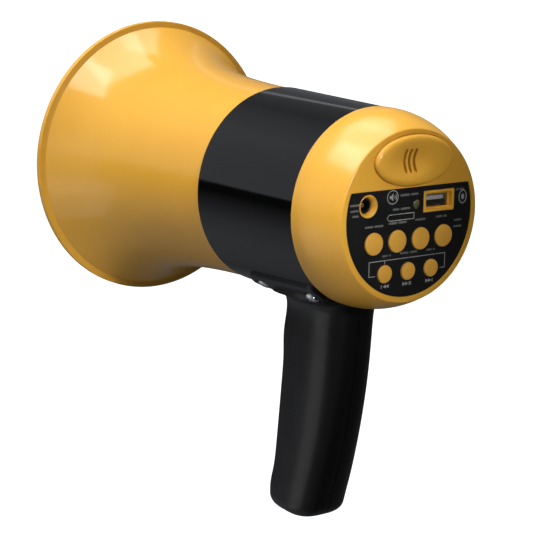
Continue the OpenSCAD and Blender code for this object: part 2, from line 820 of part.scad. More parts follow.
function trigger_front(d) = grip_front(d) - 0.2
    - trigger_bulge * pow(sin(180 * (d - trigger_top) / trigger_len), 0.8);

module trigger() {
    hub_x = trigger_w / 2;
    color(black) difference() {
        union() {
            intersection() {
                translate([-hub_x, 0, 0]) rotate([90, 0, 90]) linear_extrude(trigger_w) polygon(concat(
                    [for (i = [0:14]) let (d = trigger_top + trigger_len * i / 14)
                        [trigger_front(d), -d]],
                    [[pin_y - 3, -trigger_foot], [pin_y, -trigger_top]]));
                translate([0, grip_front(76) + 14.6, -120]) cylinder(r = 19, h = 80);
            }
            cross_rod([pin_y, -pin_drop], trigger_hub_r, -hub_x, hub_x);
            translate([-9, pin_y - 3.6, -trigger_foot + 2]) cube([18, 1.8, 5]);
            translate([0, pin_y - 2, -pin_drop - 15]) rotate([-90, 0, 0]) cylinder(r = 2, h = 3.6);
        }
        cross_rod([pin_y, -pin_drop], pin_r + 0.05, -20, 20);
        cross_rod([pin_y, -pin_drop], trigger_hub_r + 0.8, -trigger_spring_gap, trigger_spring_gap);
    }
}

module trigger_pin() {
    color(steel) cross_rod([pin_y, -pin_drop], pin_r, -pin_len / 2, pin_len / 2);
}

// Three turns round the pin, with a leg on the trigger and a leg on the grip
module trigger_spring() {
    mean = 2.3;
    turns = 3;
    step = 24;
    coil = [for (a = [0:step:360 * turns])
        [-1.5 + 3 * a / (360 * turns), pin_y + mean * cos(a), -pin_drop + mean * sin(a)]];
    color(steel) tube(concat(
        [[-1.5, pin_y + mean + 0.8, -pin_drop - 9], [-1.5, pin_y + mean + 0.3, -pin_drop - 3]],
        coil,
        [[1.5, pin_y + mean + 0.3, -pin_drop + 3], [1.5, pin_y + mean + 2, -pin_drop + 7]]), 0.35, 6);
}

module trigger_switch() {
    color(black) difference() {
        union() {
            translate([-switch_size[0] / 2, switch_y, -switch_top - switch_size[2]]) cube(switch_size);
            translate([0, switch_y - 1.3, -pin_drop - 15]) rotate([-90, 0, 0]) cylinder(r = 0.8, h = 2);
        }
        for (z = [-3, 3 - switch_size[2]])
            cross_rod([switch_y + 4, -switch_top + z], 1.05, -20, 20);
    }
}

// ---- Battery ----

module battery_cell() {
    color([0.2, 0.35, 0.65]) at_cell() cylinder(r = cell_r, h = cell_len, center = true);
}

module battery_tabs() {
    color(steel) at_cell() for (end = [-1, 1])
        translate([-3, -3, end * (cell_len / 2 + 0.15) - 0.15]) cube([6, 11, 0.3]);
}

// ---- Leads ----

// A point given in the cell's own frame: across, towards the grip's back, and along the cell
function cell_point(x, v, w) = [x, cell_y + v * cos(cell_lean) + w * sin(cell_lean),
    -cell_drop - v * sin(cell_lean) + w * cos(cell_lean)];
lead_r = 0.7;
tab_end = cell_len / 2 + 0.35;
lead_rise = 0.6;

module battery_leads() {
    color([0.7, 0.1, 0.1]) {
        tube(route([cell_point(2, 6.5, tab_end), cell_point(2, 6.5, tab_end + lead_rise),
            cell_point(2, 6.5, tab_end + 2 * lead_rise), cell_point(2.4, 6, tab_end + 4),
            [2.8, cable_hole_y - 2, -72], [3, cable_hole_y - 1, -60], [3, cable_hole_y, -50],
            [4, cable_hole_y + 4, -40], [6, cover_y - 4, -34],
            [6, board_front_y - 6.3, -33]]), lead_r);
        tube(route([cell_point(-2, 6, -tab_end), cell_point(-2, 6, -tab_end - lead_rise),
            cell_point(-2, 6, -tab_end - 2 * lead_rise), cell_point(-2, 8.6, -tab_end - 1.4),
            cell_point(-2.4, 11.4, -tab_end + 3), [-2.6, cell_y + 10.6, -136],
            [-2.8, cell_y + 11.7, -112], [-2.8, cell_y + 13, -95], [-3, cable_hole_y, -72],
            [-3, cable_hole_y + 0.4, -60], [-3, cable_hole_y + 1, -50],
            [-3, cable_hole_y + 5, -40], [2.5, cover_y - 4, -35],
            [3.8, board_front_y - 6.3, -33]]), lead_r);
    }
}

module trigger_leads() {
    color([0.8, 0.8, 0.8]) for (x = [-1, 1])
        tube(route([[x, switch_y + 7.3, -switch_top - 6], [x, switch_y + 9, -switch_top - 4],
            [x, switch_y + 11, -62], [x * 0.9, cable_hole_y - 3.6, -50],
            [x - 1, cable_hole_y - 1, -40], [x - 4, cover_y - 8, -31],
            [x - 6, board_front_y - 6.3, -32]]), 0.6);
}

module driver_leads() {
    color([0.15, 0.15, 0.15]) for (z = [-1, 1])
        tube(route([[-36.8, cap_y + cap_t - 2, z * 1.4 + 5], [-38.6, plate_y + 6, z * 1.3 + 5],
            [-39, cover_y - 30, z * 1.2 + 5], [-36, cover_y - 8, z * 1.1 + 5],
            [-30, board_front_y - 6.3, z + 5]]), 0.6);
}

module microphone_leads() {
    color([0.15, 0.15, 0.15]) for (x = [-0.9, 0.9])
        tube([[-mic_at[0] + x, board_back_y, mic_at[1]], [-mic_at[0] + x, face_in_y - 6.5, mic_at[1]]],
            0.4);
}

bell();
barrel();
rear_cover();
control_panel();
microphone_cover();
microphone_boot();
microphone_capsule();
usb_port_shell();
usb_port_tongue();
charging_jack();
charging_jack_pin();
indicator_led();
main_board();
board_screws();
key_switches();
board_chips();
capacitors();
lead_headers();
power_button();
alarm_button();
record_button();
play_button();
previous_button();
pause_button();
next_button();
throat_horn();
reflector();
throat_screws();
driver_gasket();
driver_cap();
driver_diaphragm();
voice_coil();
driver_top_plate();
driver_magnet();
driver_yoke();
driver_screws();
handle_left();
handle_right();
handle_screws();
saddle_screws();
trigger();
trigger_pin();
trigger_spring();
trigger_switch();
battery_cell();
battery_tabs();
battery_leads();
trigger_leads();
driver_leads();
microphone_leads();
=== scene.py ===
"""Looks for a handheld megaphone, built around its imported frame.

The horn, barrel, rear cover, buttons, grip and trigger are surfaces worked out on parameter grids in
millimetres and put into the frame in metres. +Y runs along the horn from the bell's mouth to the control
panel, +Z is up and +X is the speaker's left.
"""

import logging
import math
from collections.abc import Callable, Iterable, Sequence
from dataclasses import dataclass, field
from enum import Enum
from functools import reduce

import bmesh
import bpy
import numpy as np
from mathutils import Matrix, Vector


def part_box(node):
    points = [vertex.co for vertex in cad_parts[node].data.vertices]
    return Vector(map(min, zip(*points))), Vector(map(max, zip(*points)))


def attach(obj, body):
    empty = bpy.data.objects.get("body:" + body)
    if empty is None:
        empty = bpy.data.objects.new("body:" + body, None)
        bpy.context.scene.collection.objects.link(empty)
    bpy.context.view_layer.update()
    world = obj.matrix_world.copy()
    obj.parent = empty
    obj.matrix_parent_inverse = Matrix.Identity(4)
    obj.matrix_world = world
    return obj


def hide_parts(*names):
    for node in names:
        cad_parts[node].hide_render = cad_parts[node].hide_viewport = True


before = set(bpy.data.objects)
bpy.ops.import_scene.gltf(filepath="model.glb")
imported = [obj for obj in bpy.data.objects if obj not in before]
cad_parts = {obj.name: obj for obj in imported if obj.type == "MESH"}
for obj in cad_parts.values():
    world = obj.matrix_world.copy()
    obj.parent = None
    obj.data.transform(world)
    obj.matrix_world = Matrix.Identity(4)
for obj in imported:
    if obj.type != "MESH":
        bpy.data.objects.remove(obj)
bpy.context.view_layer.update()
MM = 0.001
Colour = tuple[float, float, float]
Socket = bpy.types.NodeSocket
log = logging.getLogger("megaphone")


# ---- Surfaces ----


@dataclass
class Surface:
    """A mesh as points in millimetres and faces as tuples of point numbers."""

    points: np.ndarray
    faces: list[tuple[int, ...]]

    def __add__(self, other: "Surface") -> "Surface":
        """Both surfaces side by side in one mesh.

        Args:
            other: The surface to set beside this one.

        Returns:
            One surface that holds both.
        """
        shift = len(self.points)
        moved = [tuple(i + shift for i in face) for face in other.faces]
        return Surface(np.vstack([self.points, other.points]), self.faces + moved)

    def placed(self, matrix: np.ndarray) -> "Surface":
        """The surface moved by a 4 x 4 matrix."""
        return Surface(self.points @ matrix[:3, :3].T + matrix[:3, 3], self.faces)


class Cut(Enum):
    """How a second solid changes the first."""

    TAKE = "DIFFERENCE"
    ADD = "UNION"
    KEEP = "INTERSECT"


def grid(points: np.ndarray, loop: bool = False, capped: bool = True) -> Surface:
    """Quads between neighbouring points of a grid whose rows close on themselves.

    Args:
        points: Array of rows x columns x 3.
        loop: The last row joins the first.
        capped: Where it doesn't, both end rows get a face; otherwise they are points or lie on an axis.

    Returns:
        The closed surface.
    """
    rows, columns = points.shape[:2]
    here = np.arange(rows * columns).reshape(rows, columns)
    right = np.roll(here, -1, axis=1)
    quads = np.stack([here, right, np.roll(right, -1, axis=0), np.roll(here, -1, axis=0)], axis=-1)
    quads = quads[: rows if loop else rows - 1]
    faces = [tuple(q) for q in quads.reshape(-1, 4).tolist()]
    if capped and not loop:
        faces += [tuple(here[0, ::-1].tolist()), tuple(here[-1].tolist())]
    return Surface(points.reshape(-1, 3), faces)


def lathe(profile: np.ndarray, steps: int = 160, closed: bool = True) -> Surface:
    """Turns a profile round the horn's axis: x = r cos a, z = r sin a.

    Args:
        profile: Points of radius and station, in order.
        steps: Number of points round the axis.
        closed: The profile is a loop; otherwise its ends lie on the axis.

    Returns:
        The turned surface.
    """
    turn = np.linspace(0, 2 * np.pi, steps, endpoint=False)
    r, y = profile[:, :1], profile[:, 1:]
    points = np.stack([r * np.cos(turn), y + 0 * turn, r * np.sin(turn)], axis=-1)
    return grid(points, loop=closed, capped=False)


def rounded(corners: Sequence[tuple[float, float, float]], steps: int = 5, closed: bool = True) -> np.ndarray:
    """An outline whose corners are arcs that touch both of their sides.

    Args:
        corners: Two coordinates and a radius for each corner.
        steps: Points along each arc, less one.
        closed: The outline is a loop; otherwise its ends stay sharp.

    Returns:
        Array of points x 2.
    """
    places = np.array([c[:2] for c in corners], float)
    made: list[np.ndarray] = []
    for k, (here, radius) in enumerate(zip(places, (c[2] for c in corners))):
        at_end = not closed and k in (0, len(places) - 1)
        if radius <= 0 or at_end:
            made.append(here[None])
            continue
        sides = [places[k - 1] - here, places[(k + 1) % len(places)] - here]
        a, b = (side / np.linalg.norm(side) for side in sides)
        half = math.acos(float(np.clip(a @ b, -1, 1))) / 2
        centre = here + (a + b) / np.linalg.norm(a + b) * radius / math.sin(half)
        start = here + a * radius / math.tan(half) - centre
        end = here + b * radius / math.tan(half) - centre
        first = math.atan2(start[1], start[0])
        sweep = (math.atan2(end[1], end[0]) - first + math.pi) % (2 * math.pi) - math.pi
        angle = first + sweep * np.linspace(0, 1, steps + 1)
        made.append(centre + radius * np.stack([np.cos(angle), np.sin(angle)], axis=-1))
    return np.vstack(made)


def round_rect(half_w: float, half_h: float, corner: float, steps: int = 8) -> np.ndarray:
    """A rounded rectangle about zero, as points x 2.

    Args:
        half_w: Half its width.
        half_h: Half its height.
        corner: Radius of its corners.
        steps: Points along each corner, less one.

    Returns:
        Array of points x 2.
    """
    r = min(corner, half_w - 0.01, half_h - 0.01)
    corners = [(half_w, -half_h, r), (half_w, half_h, r), (-half_w, half_h, r), (-half_w, -half_h, r)]
    return rounded(corners, steps)


def ellipse(half_w: float, half_h: float, steps: int = 96) -> np.ndarray:
    """An ellipse about zero, as points x 2."""
    a = np.linspace(0, 2 * np.pi, steps, endpoint=False)
    return np.stack([half_w * np.cos(a), half_h * np.sin(a)], axis=-1)


def bowed(wave: np.ndarray, power: float) -> np.ndarray:
    """A sine or cosine bent to trace a superellipse: its size to the power 2 / power, its sign kept."""
    return np.sign(wave) * np.abs(wave) ** (2 / power)


def joined(parts: Iterable[Surface]) -> Surface:
    """Several surfaces side by side in one mesh."""
    return reduce(Surface.__add__, parts)


def stacked(outline: Callable[[float], np.ndarray], levels: Sequence[tuple[float, float]],
            centre: tuple[float, float] = (0, 0)) -> Surface:
    """Outlines in the plane of the panel, stacked along the horn's axis.

    Args:
        outline: Gives the x, z outline for an inset.
        levels: Station and inset of each outline.
        centre: Place of the outlines' centre, x and z.

    Returns:
        The closed surface.
    """
    rows = []
    for station, inset in levels:
        ring = outline(inset)
        x, z = ring[:, 0] + centre[0], ring[:, 1] + centre[1]
        rows.append(np.stack([x, np.full(len(ring), station), z], -1))
    return grid(np.array(rows))


def edge_levels(low: float, high: float, fillet: float, steps: int = 4) -> list[tuple[float, float]]:
    """Levels of a plate whose upper edge is a quarter round.

    Args:
        low: Station of the foot.
        high: Station of the top.
        fillet: Radius of the quarter round.
        steps: Steps along the quarter round.

    Returns:
        Station and inset of each level.
    """
    turn = np.linspace(0, np.pi / 2, steps + 1)
    arc = [(high - fillet + fillet * math.sin(a), fillet * (1 - math.cos(a))) for a in turn]
    return [(low, 0.0), *arc]


def rod(start: Sequence[float], end: Sequence[float], radius: float, steps: int = 32,
        flare: float = 0.0) -> Surface:
    """A round rod between two points, with its far end widened by a flare.

    Args:
        start: Middle of the near end.
        end: Middle of the far end.
        radius: Radius of the near end.
        steps: Points round the rod.
        flare: How much wider the far end is.

    Returns:
        The closed rod.
    """
    a, b = np.array(start, float), np.array(end, float)
    axis = (b - a) / np.linalg.norm(b - a)
    side = np.cross(axis, [0, 0, 1] if abs(axis[2]) < 0.9 else [1, 0, 0])
    side /= np.linalg.norm(side)
    turn = np.linspace(0, 2 * np.pi, steps, endpoint=False)[:, None]
    ring = np.cos(turn) * side + np.sin(turn) * np.cross(axis, side)
    return grid(np.array([a + radius * ring, b + (radius + flare) * ring]))


def block(low: Sequence[float], high: Sequence[float]) -> Surface:
    """A box between two corners, for cutting.

    Args:
        low: Lowest corner.
        high: Highest corner.

    Returns:
        The closed box.
    """
    (x0, y0, z0), (x1, y1, z1) = low, high
    rows = [[[x0, y, z0], [x1, y, z0], [x1, y, z1], [x0, y, z1]] for y in (y0, y1)]
    return grid(np.array(rows, float))


def mesh_of(surface: Surface, name: str, scale: float = 1.0) -> bpy.types.Mesh:
    """A Blender mesh with its doubles merged and its faces pointing out.

    Args:
        surface: The surface to store.
        name: Name of the mesh.
        scale: Factor on every length.

    Returns:
        The new mesh.
    """
    mesh = bpy.data.meshes.new(name)
    mesh.from_pydata((surface.points * scale).tolist(), [], surface.faces)
    shape = bmesh.new()
    shape.from_mesh(mesh)
    bmesh.ops.remove_doubles(shape, verts=shape.verts, dist=1e-4 * scale)
    bmesh.ops.dissolve_degenerate(shape, edges=shape.edges, dist=1e-5 * scale)
    bmesh.ops.recalc_face_normals(shape, faces=shape.faces)
    shape.to_mesh(mesh)
    shape.free()
    return mesh


def surface_of(mesh: bpy.types.Mesh, scale: float = 1.0) -> Surface:
    """The points and faces of a Blender mesh.

    Args:
        mesh: The mesh to read.
        scale: Factor on every length.

    Returns:
        The same shape as a surface.
    """
    points = np.zeros(len(mesh.vertices) * 3)
    mesh.vertices.foreach_get("co", points)
    return Surface(points.reshape(-1, 3) * scale, [tuple(p.vertices) for p in mesh.polygons])


def linked(name: str, data: bpy.types.ID) -> bpy.types.Object:
    """Makes an object of some data and puts it in the scene.

    Args:
        name: Name of the object.
        data: Its mesh, light or camera.

    Returns:
        The new object.
    """
    made = bpy.data.objects.new(name, data)
    bpy.context.scene.collection.objects.link(made)
    return made


def carved(base: Surface, *steps: tuple[Cut, Surface]) -> Surface:
    """A solid changed by other solids, one after another.

    Args:
        base: The first solid.
        steps: What to do with each further solid.

    Returns:
        The solid that is left.
    """
    made = [linked("work", mesh_of(solid, "work")) for solid in (base, *(tool for _, tool in steps))]
    for (cut, _), tool in zip(steps, made[1:]):
        modifier = made[0].modifiers.new("carve", "BOOLEAN")
        modifier.operation, modifier.solver, modifier.object = cut.value, "MANIFOLD", tool
    seen = made[0].evaluated_get(bpy.context.evaluated_depsgraph_get())
    result = surface_of(seen.data)
    for thing in made:
        mesh = thing.data
        bpy.data.objects.remove(thing)
        bpy.data.meshes.remove(mesh)
    return result


def cad_solid(node: str) -> Surface:
    """A merged copy of a CAD node's mesh, in millimetres."""
    return surface_of(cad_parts[node].data, 1 / MM)


# ---- Finishes ----


class Graph:
    """Adds nodes to a node tree and joins them."""

    def __init__(self, tree: bpy.types.NodeTree) -> None:
        """Takes the tree to add to."""
        self.tree = tree

    def add(self, kind: str, **settings: object) -> bpy.types.Node:
        """Adds a node and sets its properties.

        Args:
            kind: Type name of the node.
            settings: The node's properties, by name.

        Returns:
            The new node.
        """
        node = self.tree.nodes.new(kind)
        for key, value in settings.items():
            setattr(node, key, value)
        return node

    def feed(self, node: bpy.types.Node, **inputs: object) -> bpy.types.Node:
        """Links or sets a node's inputs by name, with _ for a space.

        Args:
            node: The node to feed.
            inputs: A socket or a value for each input.

        Returns:
            The same node.
        """
        for key, value in inputs.items():
            socket = node.inputs[key.replace("_", " ")]
            if isinstance(value, Socket):
                self.tree.links.new(value, socket)
            else:
                socket.default_value = value
        return node

    def spread(self, value: Socket, low: float, high: float, to_low: float, to_high: float) -> Socket:
        """Maps low..high of a value to another range, clamped.

        Args:
            value: The value to map.
            low: Value that gives to_low.
            high: Value that gives to_high.
            to_low: Result at low.
            to_high: Result at high.

        Returns:
            The mapped value.
        """
        node = self.add("ShaderNodeMapRange", clamp=True)
        self.tree.links.new(value, node.inputs[0])
        for k, number in enumerate((low, high, to_low, to_high), start=1):
            node.inputs[k].default_value = number
        return node.outputs[0]

    def math(self, operation: str, a: Socket | float, b: Socket | float) -> Socket:
        """A sum, product or other operation on two values.

        Args:
            operation: Name of the operation.
            a: First value.
            b: Second value.

        Returns:
            The result.
        """
        node = self.add("ShaderNodeMath", operation=operation)
        for socket, value in zip(node.inputs, (a, b)):
            if isinstance(value, Socket):
                self.tree.links.new(value, socket)
            else:
                socket.default_value = value
        return node.outputs[0]

    def axes(self, vector: Socket) -> tuple[Socket, Socket, Socket]:
        """The three parts of a vector."""
        x, y, z = self.feed(self.add("ShaderNodeSeparateXYZ"), Vector=vector).outputs
        return x, y, z


class Bench(Graph):
    """Builds one node material step by step."""

    def __init__(self, name: str) -> None:
        """Starts a material with a shader and object coordinates.

        Args:
            name: Name of the material.
        """
        self.material = bpy.data.materials.new(name)
        self.material.use_nodes = True
        super().__init__(self.material.node_tree)
        self.tree.nodes.clear()
        self.shader = self.add("ShaderNodeBsdfPrincipled")
        output = self.add("ShaderNodeOutputMaterial")
        self.tree.links.new(self.shader.outputs[0], output.inputs[0])
        self.coords = self.add("ShaderNodeTexCoord").outputs["Object"]

    def stretched(self, scale: Sequence[float]) -> Socket:
        """Object coordinates stretched along each axis."""
        return self.feed(self.add("ShaderNodeMapping"), Vector=self.coords, Scale=tuple(scale)).outputs[0]

    def noise(self, size: float, detail: float = 3.0, vector: Socket | None = None) -> Socket:
        """Noise whose patches are about size metres across."""
        node = self.add("ShaderNodeTexNoise")
        return self.feed(node, Vector=vector or self.coords, Scale=1 / size, Detail=detail).outputs["Fac"]

    def mix(self, factor: Socket, a: Socket | Colour, b: Socket | Colour) -> Socket:
        """A colour between a and b.

        Args:
            factor: Share of b.
            a: Colour at 0.
            b: Colour at 1.

        Returns:
            The mixed colour.
        """
        node = self.add("ShaderNodeMix", data_type="RGBA")
        self.tree.links.new(factor, node.inputs[0])
        for socket, value in zip(node.inputs[6:8], (a, b)):
            if isinstance(value, Socket):
                self.tree.links.new(value, socket)
            else:
                socket.default_value = (*value, 1)
        return node.outputs[2]

    def bump(self, height: Socket, depth: float, under: Socket | None = None) -> Socket:
        """A normal raised by a height, over another normal.

        Args:
            height: The height.
            depth: What a height of 1 stands for, in metres.
            under: The normal to start from.

        Returns:
            The raised normal.
        """
        node = self.feed(self.add("ShaderNodeBump"), Height=height, Distance=depth)
        if under is not None:
            self.tree.links.new(under, node.inputs["Normal"])
        return node.outputs[0]


@dataclass(frozen=True)
class Scuff:
    """Where handling wears a piece: along an axis, from untouched to worn, in metres."""

    axis: str
    clean: float
    worn: float
    amount: float = 0.5


@dataclass(frozen=True)
class MouldedPlastic:
    """Moulded plastic: a fine grain, a slow ripple, faint clouds of colour, and scuffs where it is handled.

    Lengths are in metres.
    """

    name: str
    colour: Colour
    shade: Colour
    roughness: float
    gloss_spread: float = 0.06
    grain: float = 0.0004
    grain_depth: float = 0.000004
    ripple: float = 0.012
    ripple_depth: float = 0.00002
    specular: float = 0.5
    coat: float = 0.0
    scuff: Scuff | None = None
    scuff_colour: Colour = (0.5, 0.5, 0.5)

    def make(self) -> bpy.types.Material:
        """Builds the material.

        Returns:
            The new material.
        """
        b = Bench(self.name)
        clouds = b.spread(b.noise(0.035, 4), 0.35, 0.7, 0, 1)
        specks = b.spread(b.noise(0.0011, 2), 0.66, 0.74, 0, 0.3)
        colour = b.mix(specks, b.mix(clouds, self.colour, self.shade), self.shade)
        smears = b.noise(0.018, 5, b.stretched((1, 2.5, 1.4)))
        glossy, dull = self.roughness - self.gloss_spread / 2, self.roughness + self.gloss_spread
        rough = b.spread(smears, 0.3, 0.75, glossy, dull)
        normal = b.bump(b.noise(self.ripple, 1.5), self.ripple_depth)
        normal = b.bump(b.noise(self.grain, 2), self.grain_depth, normal)
        if self.scuff is not None:
            place = b.axes(b.coords)["XYZ".index(self.scuff.axis)]
            zone = b.spread(place, self.scuff.clean, self.scuff.worn, 0, 1)
            marks = b.spread(b.noise(0.0035, 6, b.stretched((1.6, 1, 0.7))), 0.56, 0.68, 0, self.scuff.amount)
            worn = b.math("MULTIPLY", zone, marks)
            colour = b.mix(worn, colour, self.scuff_colour)
            rough = b.math("ADD", rough, b.math("MULTIPLY", worn, 0.3))
        b.feed(b.shader, Base_Color=colour, Roughness=rough, Normal=normal, Specular_IOR_Level=self.specular,
               Coat_Weight=self.coat, Coat_Roughness=0.12)
        return b.material


@dataclass(frozen=True)
class PolishedPlastic:
    """Polished black plastic with fine wiping marks and a little dust."""

    name: str
    colour: Colour
    roughness: float

    def make(self) -> bpy.types.Material:
        """Builds the material.

        Returns:
            The new material.
        """
        b = Bench(self.name)
        dust = b.spread(b.noise(0.0007, 2), 0.7, 0.76, 0, 0.25)
        wipes = b.noise(0.004, 6, b.stretched((1, 0.12, 1)))
        haze = b.noise(0.03, 3)
        colour = b.mix(dust, self.colour, (0.05, 0.05, 0.05))
        rough = b.math("ADD", b.spread(haze, 0.3, 0.7, self.roughness, self.roughness + 0.04),
                       b.spread(wipes, 0.6, 0.75, 0, 0.05))
        normal = b.bump(b.noise(0.02, 1.5), 0.000025)
        b.feed(b.shader, Base_Color=colour, Roughness=rough, Normal=normal, Specular_IOR_Level=0.55)
        return b.material


@dataclass(frozen=True)
class PrintedFilm:
    """A printed plastic label or its ink: a very fine velvet grain, with patchy ink."""

    name: str
    colour: Colour
    thin: Colour
    roughness: float

    def make(self) -> bpy.types.Material:
        """Builds the material.

        Returns:
            The new material.
        """
        b = Bench(self.name)
        patches = b.spread(b.noise(0.0012, 5), 0.4, 0.7, 0, 1)
        rough = b.spread(b.noise(0.009, 4), 0.3, 0.7, self.roughness, self.roughness + 0.1)
        normal = b.bump(b.noise(0.00018, 2), 0.000004)
        b.feed(b.shader, Base_Color=b.mix(patches, self.colour, self.thin), Roughness=rough, Normal=normal,
               Specular_IOR_Level=0.35)
        return b.material


@dataclass(frozen=True)
class PlatedMetal:
    """Plated or brushed metal with fine drawn lines and dull patches."""

    name: str
    colour: Colour
    tarnish: Colour
    roughness: float
    lines: tuple[float, float, float] = (1.0, 1.0, 1.0)

    def make(self) -> bpy.types.Material:
        """Builds the material.

        Returns:
            The new material.
        """
        b = Bench(self.name)
        dull = b.spread(b.noise(0.0022, 5), 0.45, 0.75, 0, 1)
        drawn = b.noise(0.0003, 3, b.stretched(self.lines))
        rough = b.math("ADD", b.spread(drawn, 0.3, 0.7, self.roughness, self.roughness + 0.08),
                       b.math("MULTIPLY", dull, 0.12))
        b.feed(b.shader, Base_Color=b.mix(dull, self.colour, self.tarnish), Roughness=rough, Metallic=1.0,
               Normal=b.bump(drawn, 0.000003))
        return b.material


@dataclass(frozen=True)
class BoardLaminate:
    """A circuit board: green resist over copper traces, with silk-screened patches left plain."""

    name: str
    resist: Colour = (0.012, 0.11, 0.045)
    trace: Colour = (0.03, 0.2, 0.07)

    def make(self) -> bpy.types.Material:
        """Builds the material.

        Returns:
            The new material.
        """
        b = Bench(self.name)
        cells = b.add("ShaderNodeTexVoronoi", distance="MANHATTAN", feature="F2")
        b.feed(cells, Vector=b.coords, Scale=240.0)
        lines = b.spread(cells.outputs["Distance"], 0.55, 0.6, 0, 1)
        rough = b.spread(b.noise(0.006, 4), 0.3, 0.7, 0.28, 0.42)
        b.feed(b.shader, Base_Color=b.mix(lines, self.resist, self.trace), Roughness=rough,
               Normal=b.bump(lines, 0.00003))
        return b.material


@dataclass(frozen=True)
class WoundCopper:
    """Enamelled wire wound in rows along the horn's axis."""

    name: str

    def make(self) -> bpy.types.Material:
        """Builds the material.

        Returns:
            The new material.
        """
        b = Bench(self.name)
        rows = b.add("ShaderNodeTexWave", bands_direction="Y")
        b.feed(rows, Vector=b.coords, Scale=1500.0, Distortion=0.2)
        b.feed(b.shader, Base_Color=b.mix(rows.outputs["Fac"], (0.35, 0.12, 0.04), (0.75, 0.33, 0.14)),
               Roughness=b.spread(b.noise(0.002, 3), 0.3, 0.7, 0.25, 0.4), Metallic=1.0,
               Normal=b.bump(rows.outputs["Fac"], 0.00005))
        return b.material


FOOT_SCUFF = Scuff("Z", -0.145, -0.166, 0.35)
RIM_SCUFF = Scuff("Y", 0.009, 0.0, 0.45)
YELLOW: Colour = (0.87, 0.45, 0.054)
YELLOW_SHADE: Colour = (0.83, 0.42, 0.047)
PALE_YELLOW: Colour = (0.88, 0.52, 0.12)


class Finish(Enum):
    """Every finish on the megaphone."""

    HORN = MouldedPlastic("horn_plastic", YELLOW, YELLOW_SHADE, 0.14, 0.03, scuff=RIM_SCUFF,
                          scuff_colour=PALE_YELLOW)
    COVER = MouldedPlastic("cover_plastic", YELLOW, YELLOW_SHADE, 0.22, 0.04, grain_depth=0.000006)
    BUTTON = MouldedPlastic("button_plastic", (0.8, 0.415, 0.058), (0.74, 0.375, 0.05), 0.36, grain=0.0003,
                            scuff=Scuff("Y", 0.2222, 0.2229, 0.3), scuff_colour=(0.6, 0.34, 0.07))
    BARREL = PolishedPlastic("barrel_plastic", (0.0022, 0.0022, 0.0026), 0.055)
    GRIP = MouldedPlastic("grip_plastic", (0.0042, 0.0043, 0.0048), (0.0034, 0.0034, 0.0037), 0.3,
                          grain=0.0005, grain_depth=0.000012, scuff=FOOT_SCUFF,
                          scuff_colour=(0.05, 0.05, 0.052))
    PANEL = PrintedFilm("panel_film", (0.0045, 0.0048, 0.0055), (0.006, 0.0065, 0.007), 0.4)
    INK = PrintedFilm("panel_ink", (0.46, 0.46, 0.43), (0.26, 0.26, 0.24), 0.5)
    FAINT_INK = PrintedFilm("panel_faint_ink", (0.17, 0.17, 0.155), (0.09, 0.09, 0.085), 0.5)
    CHROME = PlatedMetal("screw_chrome", (0.78, 0.79, 0.8), (0.5, 0.5, 0.5), 0.1)
    ZINC = PlatedMetal("zinc_plate", (0.6, 0.6, 0.62), (0.42, 0.41, 0.38), 0.28)
    PORT_STEEL = PlatedMetal("port_steel", (0.5, 0.49, 0.47), (0.32, 0.31, 0.29), 0.24, (1, 6, 1))
    GOLD = PlatedMetal("contact_gold", (0.85, 0.6, 0.25), (0.6, 0.4, 0.16), 0.22)
    TONGUE = MouldedPlastic("port_tongue", (0.5, 0.5, 0.48), (0.42, 0.42, 0.4), 0.45)
    JACK = MouldedPlastic("jack_plastic", (0.006, 0.006, 0.006), (0.01, 0.01, 0.01), 0.45)
    LENS = MouldedPlastic("led_lens", (0.16, 0.15, 0.07), (0.12, 0.11, 0.05), 0.1, coat=0.5)
    BOARD = BoardLaminate("board_laminate")
    CHIP = MouldedPlastic("chip_epoxy", (0.015, 0.015, 0.016), (0.022, 0.022, 0.022), 0.55,
                          grain_depth=0.00001)
    SLEEVE = MouldedPlastic("capacitor_sleeve", (0.02, 0.03, 0.12), (0.015, 0.02, 0.09), 0.25, coat=0.3)
    HEADER = MouldedPlastic("header_plastic", (0.7, 0.66, 0.55), (0.62, 0.58, 0.47), 0.45)
    RUBBER = MouldedPlastic("seal_rubber", (0.014, 0.014, 0.014), (0.02, 0.02, 0.02), 0.75,
                            grain_depth=0.00002)
    FILM = MouldedPlastic("diaphragm_film", (0.42, 0.28, 0.12), (0.36, 0.23, 0.1), 0.4)
    COIL = WoundCopper("coil_copper")
    MAGNET = MouldedPlastic("magnet_ferrite", (0.05, 0.05, 0.053), (0.035, 0.035, 0.037), 0.6,
                            grain_depth=0.00003)
    CELL = MouldedPlastic("cell_sleeve", (0.03, 0.1, 0.3), (0.025, 0.08, 0.25), 0.22, coat=0.3)
    NICKEL = PlatedMetal("tab_nickel", (0.6, 0.57, 0.5), (0.45, 0.42, 0.36), 0.3)
    RED_LEAD = MouldedPlastic("lead_red", (0.35, 0.015, 0.015), (0.28, 0.012, 0.012), 0.45)
    GREY_LEAD = MouldedPlastic("lead_grey", (0.3, 0.3, 0.3), (0.24, 0.24, 0.24), 0.45)
    BLACK_LEAD = MouldedPlastic("lead_black", (0.015, 0.015, 0.015), (0.02, 0.02, 0.02), 0.45)
    SPRING = PlatedMetal("spring_wire", (0.55, 0.55, 0.55), (0.4, 0.38, 0.35), 0.25)


class Paintbox:
    """Makes each finish once and hands it out."""

    def __init__(self) -> None:
        """Starts with no finish made."""
        self.made: dict[Finish, bpy.types.Material] = {}

    def get(self, finish: Finish) -> bpy.types.Material:
        """The material of a finish.

        Args:
            finish: Which finish.

        Returns:
            Its material, made on first use.
        """
        if finish not in self.made:
            self.made[finish] = finish.value.make()
        return self.made[finish]


PAINT = Paintbox()


@dataclass(frozen=True)
class Role:
    """What a new piece rides on and stands for, with a slot name and a crease angle."""

    body: str
    slot: str
    stands_for: tuple[str, ...] = ()
    crease: float = 32.0


